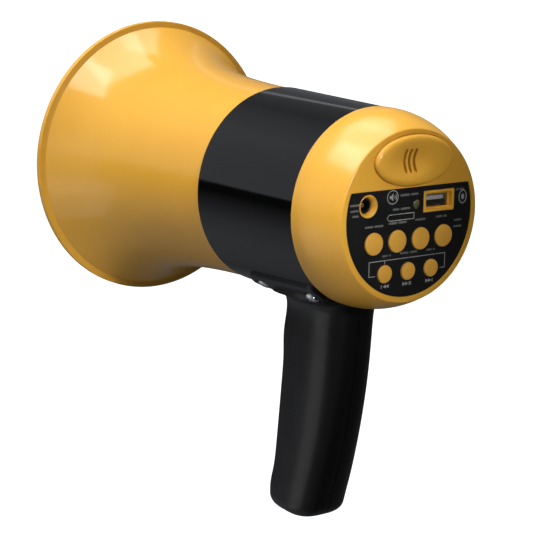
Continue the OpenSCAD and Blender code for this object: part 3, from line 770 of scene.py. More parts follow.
def piece(name: str, surface: Surface, finish: Finish, role: Role) -> bpy.types.Object:
    """Makes a finished piece at the origin, smooth except at its creases.

    Args:
        name: Name of the piece.
        surface: Its surface, in millimetres.
        finish: Its finish.
        role: Its body, slot, replaced nodes and crease angle.

    Returns:
        The new object.
    """
    mesh = mesh_of(surface, name, MM)
    shape = bmesh.new()
    shape.from_mesh(mesh)
    for edge in shape.edges:
        edge.smooth = len(edge.link_faces) == 2 and edge.calc_face_angle(0) < math.radians(role.crease)
    shape.to_mesh(mesh)
    shape.free()
    mesh.shade_smooth()
    mesh.materials.append(PAINT.get(finish))
    made = linked(name, mesh)
    weighted = made.modifiers.new("flat_faces_stay_flat", "WEIGHTED_NORMAL")
    weighted.keep_sharp = True
    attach(made, role.body)
    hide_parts(*role.stands_for)
    log.info("%s: %d faces", name, len(mesh.polygons))
    return made


def dress(node: str, finish: Finish) -> None:
    """Gives a CAD node its finish.

    Args:
        node: Name of the CAD node.
        finish: The finish that it gets.
    """
    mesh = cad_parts[node].data
    mesh.materials.clear()
    mesh.materials.append(PAINT.get(finish))
    log.info("%s: dressed", node)


@dataclass(frozen=True)
class Span:
    """A CAD node's box at rest, in millimetres."""

    low: np.ndarray
    high: np.ndarray

    @classmethod
    def of(cls, node: str) -> "Span":
        """Reads a node's box from the frame."""
        low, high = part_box(node)
        return cls(np.array(low) / MM, np.array(high) / MM)

    @property
    def centre(self) -> np.ndarray:
        """The middle of the box."""
        return (self.low + self.high) / 2


# ---- Horn ----


@dataclass
class Horn:
    """The flared bell with its sleeve, the throat behind it, and the reflector that folds the sound path."""

    neck_r: float = 49.2
    flare_len: float = 34.0
    rim_land: float = 3.5
    wall: float = 2.4
    sleeve_r: float = 46.35
    sleeve_in_r: float = 43.9
    ledge_r: float = 36.5
    ledge_t: float = 3.0
    bulkhead_gap: float = 0.5
    throat_r: float = 7.0
    tube_r: float = 12.0
    tube_out_r: float = 13.8
    tube_neck_r: float = 11.0
    tube_len: float = 10.0
    flange_t: float = 3.0
    nose_len: float = 14.0
    cup_wall: float = 2.0
    hub_r: tuple[float, float] = (13.85, 15.65)
    hub_len: float = 9.0
    web_root: float = 14.9
    web_t: float = 2.0
    web_turns: tuple[int, ...] = (90, 210, 330)
    bell: Span = field(default_factory=lambda: Span.of("bell"))
    barrel: Span = field(default_factory=lambda: Span.of("barrel"))
    throat: Span = field(default_factory=lambda: Span.of("throat_horn"))
    cup: Span = field(default_factory=lambda: Span.of("reflector"))

    def flare(self, y: np.ndarray) -> np.ndarray:
        """Outer radius: the neck's, plus a part that dies away exponentially from the mouth."""
        mouth = self.bell.high[0]
        return self.neck_r + (mouth - self.neck_r) * np.exp(-y / self.flare_len)

    def bell_profile(self) -> np.ndarray:
        """The bell's section: a rolled rim, the flare outside and in, and the sleeve with its ledge.

        Returns:
            Radius and station of each point.
        """
        mouth, end = self.bell.high[0], self.bell.high[1]
        neck = self.barrel.low[1]
        behind_rim = float(self.flare(np.array(self.rim_land + 1.1)))
        lip = rounded([(mouth - self.wall, 0.5, 0), (mouth - self.wall, 0, 0.4), (mouth, 0, 1.0),
                       (mouth, self.rim_land, 0.7), (behind_rim, self.rim_land + 0.9, 0)], 6, closed=False)
        run = np.linspace(self.rim_land + 2, neck, 72)
        outside = np.stack([self.flare(run), run], -1)
        bulkhead = neck - self.bulkhead_gap
        sleeve = rounded([(self.neck_r - 0.3, neck, 0), (self.sleeve_r, neck, 0.3), (self.sleeve_r, end, 0.6),
                          (self.sleeve_in_r, end, 0.6), (self.sleeve_in_r, bulkhead, 0.3),
                          (self.ledge_r, bulkhead, 0.4), (self.ledge_r, bulkhead - self.ledge_t, 0.4),
                          (self.neck_r - self.wall - 0.5, bulkhead - self.ledge_t, 0)], 4, closed=False)
        back = np.linspace(bulkhead - self.ledge_t - 1, 1.2, 72)
        inside = np.stack([self.flare(back) - self.wall, back], -1)
        return np.vstack([lip, outside, sleeve[1:-1], inside])

    def throat_profile(self) -> np.ndarray:
        """The bulkhead and the tube that widens towards the reflector.

        Returns:
            Radius and station of each point.
        """
        front, back = self.throat.low[1], self.throat.high[1]
        out = self.throat.high[0]
        flange = back - self.flange_t
        return rounded([(self.throat_r, back, 0.3), (self.tube_r, front, 0.6), (self.tube_out_r, front, 0.6),
                        (self.tube_out_r, front + self.tube_len, 4), (self.tube_neck_r, flange, 5),
                        (out, flange, 0.4), (out, back, 0.3)], 6)

    def cup_profile(self) -> np.ndarray:
        """The reflector's section: an elliptical nose that runs into a straight skirt of even thickness.

        Returns:
            Radius and station of each point, from the nose and back inside.
        """
        front, back, r = self.cup.low[1], self.cup.high[1], self.cup.high[0]
        nose, wall = self.nose_len, self.cup_wall
        turn = np.linspace(0, np.pi / 2, 25)
        outer = np.stack([r * np.sin(turn), front + nose * (1 - np.cos(turn))], -1)
        inner = np.stack([(r - wall) * np.sin(turn), front + nose - (nose - wall) * np.cos(turn)], -1)[::-1]
        skirt = [(r, front + nose, 0), (r, back, 0.9), (r - wall, back, 0.9), (r - wall, front + nose, 0)]
        lip = rounded(skirt, 5, closed=False)
        return np.vstack([outer, lip[1:-1], inner])

    def spokes(self) -> list[Surface]:
        """Three webs and a hub that hold the cup on the throat's tube.

        Returns:
            The hub, then each web.
        """
        front, back = self.throat.low[1], self.throat.low[1] + self.hub_len
        bore, out = self.hub_r
        hub = rounded([(bore, front, 0.3), (out, front, 0.5), (out, back, 0.5), (bore, back, 0.3)], 3)
        web = block((self.web_root, front, -self.web_t / 2), (self.cup.high[0] - 1.2, back, self.web_t / 2))
        spins = [Matrix.Rotation(math.radians(turn), 4, "Y") for turn in self.web_turns]
        return [lathe(hub, 96), *(web.placed(np.array(spin)) for spin in spins)]

    def build(self) -> None:
        """Builds the bell, the throat and the reflector."""
        shell = lathe(self.bell_profile(), 256)
        piece("bell_shell", shell, Finish.HORN, Role("casing", "horn_plastic", ("bell",)))
        piece("throat_tube", lathe(self.throat_profile(), 128), Finish.HORN,
              Role("casing", "horn_plastic", ("throat_horn",)))
        cup = lathe(self.cup_profile(), 160, closed=False)
        for part in self.spokes():
            cup = carved(cup, (Cut.ADD, part))
        piece("reflector_cup", cup, Finish.HORN, Role("casing", "horn_plastic", ("reflector",)))


# ---- Barrel ----


@dataclass
class Barrel:
    """The black barrel that joins the bell to the rear cover."""

    front_r: float = 50.7
    back_r: float = 48.9
    bore_r: float = 46.5
    edge: float = 0.5
    cable_hole_r: float = 6.0
    cable_hole_in: float = 25.0
    span: Span = field(default_factory=lambda: Span.of("barrel"))

    def radius(self, y: np.ndarray | float) -> np.ndarray | float:
        """Outer radius at a station: a straight taper."""
        share = (y - self.span.low[1]) / (self.span.high[1] - self.span.low[1])
        return self.front_r + (self.back_r - self.front_r) * share

    def envelope(self, gap: float) -> Surface:
        """A solid a gap larger than the barrel, for cutting the saddle's seat.

        Args:
            gap: How far it stands off the barrel.

        Returns:
            The solid, a little longer than the barrel.
        """
        y0, y1 = self.span.low[1] - 5, self.span.high[1] + 5
        return lathe(np.array([[0, y0], [self.radius(y0) + gap, y0], [self.radius(y1) + gap, y1], [0, y1]]),
                     192, closed=False)

    def cable_hole(self) -> Surface:
        """The hole under the barrel that the leads pass through, as a solid to cut with."""
        y = self.span.high[1] - self.cable_hole_in
        return rod((0, y, -60), (0, y, -30), self.cable_hole_r, 40)

    def build(self) -> None:
        """Builds the barrel with its cable hole."""
        y0, y1 = self.span.low[1], self.span.high[1]
        profile = rounded([(self.bore_r, y0, 0.2), (self.front_r, y0, self.edge),
                           (self.back_r, y1, self.edge), (self.bore_r, y1, 0.2)], 6)
        shell = carved(lathe(profile, 256), (Cut.TAKE, self.cable_hole()))
        piece("barrel_shell", shell, Finish.BARREL, Role("casing", "barrel_plastic", ("barrel",)))


# ---- Rear cover ----


COVER_WALL = 2.5
BUTTON_LIP = 1.15


class Buttons(Enum):
    """The push buttons, by node."""

    POWER = "power_button"
    ALARM = "alarm_button"
    RECORD = "record_button"
    PLAY = "play_button"
    PREVIOUS = "previous_button"
    PAUSE = "pause_button"
    NEXT = "next_button"

    @property
    def cap_r(self) -> float:
        """Radius of the cap, which is the flange's radius less its lip."""
        span = Span.of(self.value)
        return (span.high[0] - span.low[0]) / 2 - BUTTON_LIP


@dataclass
class RearCover:
    """The domed cover, with its recess for the panel and its openings."""

    skirt_len: float = 4.0
    face_r: float = 41.8
    shoulder: float = 0.9
    wall: float = COVER_WALL
    sleeve_r: float = 46.35
    sleeve_in_r: float = 43.9
    sleeve_len: float = 17.0
    gap: float = 0.25
    jack_hole_r: float = 3.75
    jack_ring_r: float = 5.5
    usb_bezel: tuple[float, float] = (19.4, 10.4)
    usb_mouth: tuple[float, float] = (16.2, 7.8)
    mic_half: tuple[float, float] = (24.0, 12.3)
    rings_proud: float = 0.2
    rings_deep: float = 0.6
    post_places: tuple[tuple[float, float], ...] = ((33, -8), (-33, -8), (30, 21), (-30, 21))
    post_r: float = 3.2
    pilot_r: float = 1.25
    mic_cup_r: float = 7.8
    mic_bore_r: float = 6.5
    mic_hole_r: float = 4.4
    led_hole_r: float = 1.65
    span: Span = field(default_factory=lambda: Span.of("rear_cover"))
    panel: Span = field(default_factory=lambda: Span.of("control_panel"))
    mic: Span = field(default_factory=lambda: Span.of("microphone_cover"))
    jack: Span = field(default_factory=lambda: Span.of("charging_jack"))
    usb: Span = field(default_factory=lambda: Span.of("usb_port_shell"))
    led: Span = field(default_factory=lambda: Span.of("indicator_led"))
    board: Span = field(default_factory=lambda: Span.of("main_board"))

    @property
    def skirt_y(self) -> float:
        """Station where the cover meets the barrel."""
        return self.span.low[1] + self.sleeve_len

    @property
    def rim_y(self) -> float:
        """Station of the flat face."""
        return self.span.high[1]

    @property
    def face_in_y(self) -> float:
        """Station of the face's inner side."""
        return self.panel.low[1] - self.wall

    def dome(self, inset: float, start: float, end: float, steps: int) -> np.ndarray:
        """The shoulder: the radius falls as the 1.9th power of the way from the skirt to the face.

        Args:
            inset: How far inside the outer face.
            start: Share of the way to start at.
            end: Share of the way to end at.
            steps: Number of points.

        Returns:
            Radius and station of each point.
        """
        s = np.linspace(start, end, steps)
        r = self.span.high[0] - (self.span.high[0] - self.face_r) * s**1.9
        y = self.skirt_y + self.skirt_len + (self.rim_y - self.skirt_y - self.skirt_len) * s
        return np.stack([r - inset, y], -1)

    def profile(self) -> np.ndarray:
        """The cover's section from the face's centre, over the shoulder, to the sleeve and back inside.

        Returns:
            Radius and station of each point.
        """
        out = self.span.high[0]
        run = self.dome(0, 0.02, 0.955, 40)[::-1]
        turned = [(30, self.rim_y, 0), (self.face_r, self.rim_y, self.shoulder), (*run[0], 0)]
        shoulder = rounded(turned, 8, closed=False)
        sleeve = rounded([(out, self.skirt_y + 2, 0), (out, self.skirt_y, 0.4),
                          (self.sleeve_r, self.skirt_y, 0.2), (self.sleeve_r, self.span.low[1], 0.5),
                          (self.sleeve_in_r, self.span.low[1], 0.5), (self.sleeve_in_r, self.skirt_y + 2, 0)],
                         4, closed=False)
        inner = self.dome(self.wall, 0, 0.83, 16)
        ends = np.array([[self.face_r - self.wall - 0.1, self.face_in_y], [0, self.face_in_y]])
        return np.vstack([[[0, self.rim_y]], shoulder, run[1:], sleeve, inner, ends])

    def hole(self, place: np.ndarray, r: float) -> Surface:
        """A bore right through the face at a place."""
        return rod((place[0], self.face_in_y - 1, place[2]), (place[0], self.rim_y + 1, place[2]), r, 48)

    def recess(self) -> Surface:
        """The sunk seat of the panel: a disc with a straight upper edge.

        Returns:
            The solid to take away.
        """
        r, top = self.panel.high[0] + 0.1, self.panel.high[2] + 0.1
        seat = self.panel.low[1]
        half = math.asin(top / r)
        turn = np.linspace(math.pi - half, 2 * math.pi + half, 160)
        ring = np.stack([r * np.cos(turn), r * np.sin(turn)], -1)
        return stacked(lambda inset: ring * (1 + inset), [(seat, 0), (self.rim_y + 1, 0)])

    def jack_ring(self) -> list[tuple[Cut, Surface]]:
        """The raised ring round the charging socket, with its dished inner edge.

        Returns:
            Each solid to add or take, in order.
        """
        x, _, z = self.jack.centre
        top, seat = self.panel.high[1] + self.rings_proud, self.panel.low[1] - self.rings_deep
        r, bore_r = self.jack_ring_r, self.jack_hole_r
        ring = stacked(lambda i: ellipse(r - i, r - i, 64), edge_levels(seat, top, 0.3), (x, z))
        dish = lathe(np.array([[0, top - 2.2], [bore_r, top - 2.2], [bore_r + 0.15, top - 1.9],
                               [4.4, top - 0.9], [r - 0.45, top + 0.02], [r, top + 1], [0, top + 1]]),
                     64, closed=False)
        dish = Surface(dish.points + [x, 0, z], dish.faces)
        bore = rod((x, self.face_in_y - 1, z), (x, top + 1, z), bore_r, 64)
        return [(Cut.ADD, ring), (Cut.TAKE, dish), (Cut.TAKE, bore)]

    def usb_frame(self) -> list[tuple[Cut, Surface]]:
        """The raised bezel round the USB socket, with its stepped mouth.

        Returns:
            Each solid to add or take, in order.
        """
        x, _, z = self.usb.centre
        top, seat = self.panel.high[1] + self.rings_proud, self.panel.low[1] - self.rings_deep
        half_w, half_h = self.usb_bezel[0] / 2, self.usb_bezel[1] / 2
        bezel = stacked(lambda i: round_rect(half_w - i, half_h - i, 0.8 - i / 2),
                        edge_levels(seat, top, 0.3), (x, z))
        mouth_w, mouth_h = self.usb_mouth[0] / 2, self.usb_mouth[1] / 2
        stepped = [(top - 2, 0), (top - 0.35, 0), (top - 0.1, -0.12), (top + 0.05, -0.3), (top + 1, -0.3)]
        mouth = stacked(lambda i: round_rect(mouth_w - i, mouth_h - i, 0.6), stepped, (x, z))
        size = self.usb.high - self.usb.low
        slot = stacked(lambda i: round_rect(size[0] / 2 + 0.3, size[2] / 2 + 0.3, 0.3),
                       [(self.face_in_y - 1, 0), (top, 0)], (x, z))
        return [(Cut.ADD, bezel), (Cut.TAKE, mouth), (Cut.TAKE, slot)]

    def posts(self) -> list[tuple[Cut, Surface]]:
        """Four posts that carry the circuit board, and the cup behind the microphone.

        Returns:
            Each solid to add or take, in order.
        """
        made = []
        foot, face = self.board.high[1], self.face_in_y
        for x, z in self.post_places:
            made.append((Cut.ADD, rod((x, foot, z), (x, face + 1, z), self.post_r, 40)))
            made.append((Cut.TAKE, rod((x, foot - 1, z), (x, foot + 9, z), self.pilot_r, 24)))
        x, _, z = self.mic.centre
        made.append((Cut.ADD, rod((x, face - 6, z), (x, face + 1, z), self.mic_cup_r, 48)))
        made.append((Cut.TAKE, rod((x, face - 7, z), (x, face, z), self.mic_bore_r, 48)))
        made.append((Cut.TAKE, self.hole(self.mic.centre, self.mic_hole_r)))
        return made

    def build(self) -> None:
        """Builds the cover and the microphone's cover."""
        steps = self.posts() + [(Cut.TAKE, self.recess())] + self.jack_ring() + self.usb_frame()
        for button in Buttons:
            steps.append((Cut.TAKE, self.hole(Span.of(button.value).centre, button.cap_r + self.gap)))
        steps.append((Cut.TAKE, self.hole(self.led.centre, self.led_hole_r)))
        x, _, z = self.mic.centre
        rim = self.rim_y
        levels = [(self.mic.low[1], 0.25), (rim - 0.3, 0.25), (rim, 0.55), (rim + 1, 1.6)]
        well = stacked(lambda i: ellipse(self.mic_half[0] + i, self.mic_half[1] + i), levels, (x, z))
        steps.append((Cut.TAKE, well))
        cover = carved(lathe(self.profile(), 256, closed=False), *steps)
        piece("rear_cover_shell", cover, Finish.COVER, Role("casing", "cover_plastic", ("rear_cover",)))
        MicrophoneCover(self.mic_half, self.mic).build()


@dataclass
class MicrophoneCover:
    """The oval cover over the microphone: a soft shoulder, a shallow dish and three bowed slots."""

    half: tuple[float, float]
    span: Span
    shoulder: float = 2.6
    dish_half: tuple[float, float] = (16.0, 9.6)
    dish_depth: float = 2.3
    dish_shift: float = 3.0
    slot_len: float = 11.6
    slot_w: float = 1.4
    slot_pitch: float = 3.0
    slot_bow: float = 24.0

    def top(self, x: np.ndarray, z: np.ndarray) -> np.ndarray:
        """Station of the top: a flat crown, less a dish that is a squared parabola of the oval distance."""
        away = ((x - self.dish_shift) / self.dish_half[0]) ** 2 + (z / self.dish_half[1]) ** 2
        return self.span.high[1] - self.dish_depth * np.clip(1 - away, 0, None) ** 2

    def blank(self) -> Surface:
        """The oval before its slots: the seat, the side, a rounded shoulder and the dished top.

        Returns:
            The closed oval.
        """
        x0, _, z0 = self.span.centre
        a, b = self.half
        seat = self.span.low[1]
        turn = np.linspace(0, 2 * np.pi, 144, endpoint=False)
        ring = np.stack([np.cos(turn), np.sin(turn)])
        rows = [np.stack([0 * turn + x0, 0 * turn + seat, 0 * turn + z0], -1),
                np.stack([a * ring[0] + x0, 0 * turn + seat, b * ring[1] + z0], -1)]
        for quarter in np.linspace(0, np.pi / 2, 9):
            inset = self.shoulder * (1 - math.cos(quarter))
            drop = self.shoulder * 0.75 * (1 - math.sin(quarter))
            x, z = (a - inset) * ring[0], (b - inset) * ring[1]
            rows.append(np.stack([x + x0, self.top(x, z) - drop, z + z0], -1))
        for share in np.linspace(1, 0, 40)[1:]:
            x, z = (a - self.shoulder) * ring[0] * share, (b - self.shoulder) * ring[1] * share
            rows.append(np.stack([x + x0, self.top(x, z), z + z0], -1))
        return grid(np.array(rows), capped=False)

    def slot(self, shift: float) -> Surface:
        """One bowed slot with round ends, cut right through.

        Args:
            shift: Place of the slot, from the middle of the dish.

        Returns:
            The solid to take away.
        """
        x0, _, z0 = self.span.centre
        bow, w = self.slot_bow, self.slot_w / 2
        reach = math.asin((self.slot_len - self.slot_w) / 2 / bow)
        turn = np.linspace(-reach, reach, 14)
        arc = np.stack([np.cos(turn), np.sin(turn)], -1)
        across = np.array([math.cos(reach), math.sin(reach)])
        along = np.array([-math.sin(reach), math.cos(reach)])
        cap = np.linspace(-math.pi / 2, math.pi / 2, 7)[1:-1]
        far = [bow * across + w * (math.sin(-a) * across + math.cos(a) * along) for a in cap]
        near = [point * [1, -1] for point in far][::-1]
        ring = np.vstack([(bow + w) * arc, far, ((bow - w) * arc)[::-1], near]) - [bow, 0]
        levels = [(self.span.low[1] - 1, 0), (self.span.high[1] + 1, 0)]
        return stacked(lambda i: ring, levels, (x0 + self.dish_shift + shift, z0))

    def build(self) -> None:
        """Builds the cover."""
        cuts = [(Cut.TAKE, self.slot(k * self.slot_pitch)) for k in (-1, 0, 1)]
        piece("microphone_cover_shell", carved(self.blank(), *cuts), Finish.COVER,
              Role("casing", "cover_plastic", ("microphone_cover",)))


# ---- Control panel ----


@dataclass(frozen=True)
class Label:
    """Bars in place of a word or two: their middle, to the reader's right and up, and their sizes."""

    right: float
    up: float
    widths: tuple[float, ...]
    height: float = 1.0


LABELS = (
    Label(-21.7, -3.2, (5.2, 5.4)),
    Label(-7.2, -2.6, (5.4, 5.2)),
    Label(6.9, -2.2, (6.6,)),
    Label(20.2, -1.9, (4.4, 2.0)),
    Label(-34.0, 7.9, (5.6,), 0.95),
    Label(-33.8, 5.2, (5.2,), 0.95),
    Label(-33.2, 2.7, (3.8,), 0.95),
    Label(-0.5, 10.4, (6.0, 4.6), 1.05),
    Label(-5.2, 3.9, (4.2, 6.0), 1.1),
    Label(31.6, 10.4, (5.4,), 0.9),
    Label(30.9, -4.6, (5.0,), 0.9),
    Label(30.9, -7.7, (5.4,), 0.9),
    Label(-13.4, -17.9, (3.4, 1.4), 0.9),
    Label(0.2, -17.6, (5.4, 4.6), 0.95),
    Label(14.2, -17.6, (3.4, 1.4), 0.9),
)


@dataclass
class ControlPanel:
    """The printed panel: frame lines, key signs and plain bars in place of words."""

    ink: float = 0.04
    sink: float = 0.02
    line: float = 0.34
    space: float = 0.7
    sign_z: float = -32.7
    sign_stem: tuple[float, float] = (0.45, 1.9)
    span: Span = field(default_factory=lambda: Span.of("control_panel"))

    def flat(self, outline: np.ndarray) -> Surface:
        """A thin mark of ink on the panel.

        Args:
            outline: Its outline, across to the reader's right, and up.

        Returns:
            The closed mark.
        """
        ring = np.array(outline, float) * [-1, 1]
        face = self.span.high[1]
        return stacked(lambda i: ring, [(face - self.sink, 0), (face + self.ink, 0)])

    def bar(self, u: float, z: float, width: float, height: float) -> Surface:
        """A bar with round ends, by its centre."""
        return self.flat(round_rect(width / 2, height / 2, height / 2.2, 3) + [u, z])

    def stroke(self, *points: tuple[float, float]) -> Surface:
        """A drawn line through points, as joined bars.

        Args:
            points: Places across and up the panel.

        Returns:
            The drawn line.
        """
        bars = []
        for start, end in zip(np.array(points, float), np.array(points[1:], float)):
            along = (end - start) / np.linalg.norm(end - start)
            side = np.array([-along[1], along[0]]) * self.line / 2
            a, b = start - along * self.line / 2, end + along * self.line / 2
            bars.append(self.flat(np.array([a - side, b - side, b + side, a + side])))
        return joined(bars)

    def words(self, label: Label) -> Surface:
        """A row of bars that stands for a printed word or two.

        Args:
            label: The bars' place and sizes.

        Returns:
            The bars.
        """
        start = label.right - (sum(label.widths) + self.space * (len(label.widths) - 1)) / 2
        bars = []
        for width in label.widths:
            bars.append(self.bar(start + width / 2, label.up, width, label.height))
            start += width + self.space
        return joined(bars)

    def arrow(self, u: float, z: float, way: int, size: float = 0.95) -> Surface:
        """A solid triangle that points right or left."""
        back, tip = u - size * way, u + size * way
        return self.flat(np.array([[back, z - size], [tip, z], [back, z + size]]))

    def hoop(self, u: float, z: float, half_w: float, half_h: float, width: float) -> Surface:
        """An oval line.

        Args:
            u: Middle, to the reader's right.
            z: Middle, up.
            half_w: Half its width.
            half_h: Half its height.
            width: Width of the line.

        Returns:
            The oval line.
        """
        outer, inner = ellipse(half_w, half_h, 48), ellipse(half_w - width, half_h - width, 48)
        low, high = self.span.high[1] - self.sink, self.span.high[1] + self.ink
        rows = [np.stack([-(ring[:, 0] + u), np.full(48, y), ring[:, 1] + z], -1)
                for ring, y in ((outer, low), (outer, high), (inner, high), (inner, low))]
        return grid(np.array(rows), loop=True)

    def track_signs(self) -> Surface:
        """The signs under the track buttons: back, play with pause, and forward.

        Returns:
            The signs.
        """
        z, stem = self.sign_z, self.sign_stem
        back = [self.arrow(-14.2, z, -1), self.arrow(-12.4, z, -1), self.bar(-16.1, z, *stem)]
        play = [self.arrow(-2.0, z, 1), self.arrow(-0.2, z, 1)]
        pause = [self.bar(1.35, z, *stem), self.bar(2.2, z, *stem)]
        forward = [self.arrow(12.5, z, 1), self.arrow(14.3, z, 1), self.bar(15.9, z, *stem)]
        return joined(back + play + pause + forward)

    def sound_sign(self) -> Surface:
        """A loudspeaker with two waves, in a ring.

        Returns:
            The sign.
        """
        cone = [(-12.6, 9.2), (-11.7, 9.2), (-10.5, 8.0), (-10.5, 11.8), (-11.7, 10.6), (-12.6, 10.6)]
        marks = [self.hoop(-10.8, 9.9, 3.5, 3.4, 0.4), self.flat(np.array(cone))]
        turn = np.linspace(-0.75, 0.75, 9)
        arc = np.stack([np.cos(turn), np.sin(turn)], -1)
        for reach in (1.2, 2.2):
            wave = np.vstack([arc * reach, arc[::-1] * (reach - 0.4)]) + [-10.4, 9.9]
            marks.append(self.flat(wave))
        return joined(marks)

    def signs(self) -> Surface:
        """The bright marks: the track buttons' bracket and signs, the sound sign, a tag and an oval.

        Returns:
            Every bright mark.
        """
        bracket = self.stroke((-20.4, -27.2), (-24, -27.2), (-24, -20.1), (23.5, -20.1), (23.5, -27.2),
                              (20.4, -27.2))
        branch = self.stroke((-14.5, -20.1), (-14.5, -21.6))
        tag = self.stroke((-13.9, 0), (-12.6, 1.5), (2.8, 1.5), (2.8, -1.4), (-12.6, -1.4), (-13.9, 0))
        oval = self.hoop(33.6, 6.6, 2.6, 3.4, 0.5) + self.bar(33.6, 6.6, 1.8, 2.6)
        return joined([bracket, branch, self.track_signs(), self.sound_sign(), tag, oval])

    def labels(self) -> Surface:
        """The faint marks: bars where the panel has words."""
        return joined(self.words(label) for label in LABELS)

    def contacts(self) -> Surface:
        """Four gold strips on the USB tongue.

        Returns:
            The strips.
        """
        tongue, seat = Span.of("usb_port_tongue"), Span.of("usb_port_shell").centre[2]
        root, tip = tongue.high[1] - 7, tongue.high[1] - 0.6
        middles = [tongue.centre[0] + shift for shift in (-3.5, -1.0, 1.0, 3.5)]
        return joined(block((x - 0.5, root, seat), (x + 0.5, tip, seat + 0.15)) for x in middles)

    def lens(self) -> Surface:
        """The indicator's body with a shallow domed top that stands level with the panel.

        Returns:
            The closed lens.
        """
        led = Span.of("indicator_led")
        r, top = led.high[0] - led.centre[0], self.span.high[1] + 0.25
        share = np.linspace(1, 0, 8)
        dome = np.stack([r * share, top - 0.55 * share**2], -1)
        body = lathe(np.vstack([[[0, led.low[1]], [r, led.low[1]]], dome]), 40, closed=False)
        return Surface(body.points + led.centre * [1, 0, 1], body.faces)

    def build(self) -> None:
        """Dresses the panel and lays its print on it."""
        piece("indicator_lens", self.lens(), Finish.LENS, Role("casing", "led_lens", ("indicator_led",)))
        dress("control_panel", Finish.PANEL)
        piece("panel_signs", self.signs(), Finish.INK, Role("casing", "panel_print"))
        piece("panel_labels", self.labels(), Finish.FAINT_INK, Role("casing", "panel_print"))
        piece("usb_contacts", self.contacts(), Finish.GOLD, Role("casing", "port_steel"))


@dataclass
class PushButton:
    """A button: a crowned cap, a flange that keeps it in, and a stem down to its switch."""

    button: Buttons
    crown: float = 0.28
    edge: float = 0.42
    lip: float = BUTTON_LIP
    stem_r: float = 1.9
    face_in_y: float = field(default_factory=lambda: Span.of("control_panel").low[1] - COVER_WALL)

    def profile(self, r: float, tip: float, top: float) -> np.ndarray:
        """The section from the stem's tip to the crown, which is a shallow parabola.

        Args:
            r: Radius of the cap.
            tip: Station of the stem's tip.
            top: Station of the crown.

        Returns:
            Radius and station of each point.
        """
        low, flange_low, flange_high = (self.face_in_y - drop for drop in (4.8, 1.9, 0.3))
        out = r + self.lip
        side = rounded([(0, tip, 0), (self.stem_r, tip, 0.3), (self.stem_r, low, 0), (r - 0.4, low, 0),
                        (r, low, 0.2), (r, flange_low, 0), (out, flange_low, 0.2), (out, flange_high, 0.2),
                        (r, flange_high, 0), (r, top - self.crown, self.edge),
                        (r * 0.8, top - self.crown * 0.66, 0)], 5, closed=False)
        share = np.linspace(0.78, 0, 10)
        crown = np.stack([r * share, top - self.crown * share**2], -1)
        return np.vstack([side, crown])

    def build(self) -> None:
        """Builds the button at its place in the frame."""
        span = Span.of(self.button.value)
        cap = lathe(self.profile(self.button.cap_r, span.low[1], span.high[1]), 72, closed=False)
        centre = span.centre * [1, 0, 1]
        name = self.button.value
        piece(f"{name}_cap", Surface(cap.points + centre, cap.faces), Finish.BUTTON,
              Role(name, "button_plastic", (name,)))


# ---- Screws ----


@dataclass
class PanScrew:
    """A pan-head screw with a cross recess, drawn with its head up from z = 0."""

    shank_r: float
    shank_len: float
    head_r: float
    head_h: float
    pitch: float = 0.8
    thread_depth: float = 0.22

    def surface(self) -> Surface:
        """The screw: a domed head, a shank with thread rings, and a tapered cross cut into the head.

        Returns:
            The closed screw.
        """
        turn = np.linspace(0, np.pi / 2, 9)
        dome = np.stack([self.head_r * np.cos(turn) ** 0.8, self.head_h * (0.35 + 0.65 * np.sin(turn))], -1)
        dome[-1, 0] = 0
        count = max(4, int(self.shank_len / self.pitch))
        z = np.linspace(-self.shank_len, -0.4, 2 * count + 1)
        thread = np.stack([self.shank_r - self.thread_depth * (np.arange(len(z)) % 2), z], -1)
        tip, seat = [[0, -self.shank_len - 0.3]], [[self.shank_r, 0], [self.head_r, 0]]
        body = lathe(np.vstack([tip, thread, seat, dome]), 48, closed=False)
        body = Surface(body.points[:, [0, 2, 1]], body.faces)
        for wide, narrow in ((0.62, 0.13), (0.13, 0.62)):
            half = np.array([wide, narrow]) * self.head_r
            deep = half * 0.72
            floor, top = self.head_h * 0.35, self.head_h + 0.2
            rows = [[[sx * h[0], sy * h[1], level] for sx, sy in ((-1, -1), (1, -1), (1, 1), (-1, 1))]
                    for h, level in ((deep, floor), (half, top))]
            body = carved(body, (Cut.TAKE, grid(np.array(rows, float))))
        return body

    def along(self, place: Sequence[float], way: Sequence[float]) -> Surface:
        """The screw with its head's seat at a place and its head pointing a way.

        Args:
            place: Middle of the head's seat.
            way: Where the head points.

        Returns:
            The screw in its place.
        """
        turn = Vector(way).to_track_quat("Z", "Y").to_matrix().to_4x4()
        turn.translation = Vector(place)
        return self.surface().placed(np.array(turn))


# ---- Handle ----


class Side(Enum):
    """The two halves of the grip, by node, with the sign of their x."""

    LEFT = ("handle_left", 1)
    RIGHT = ("handle_right", -1)


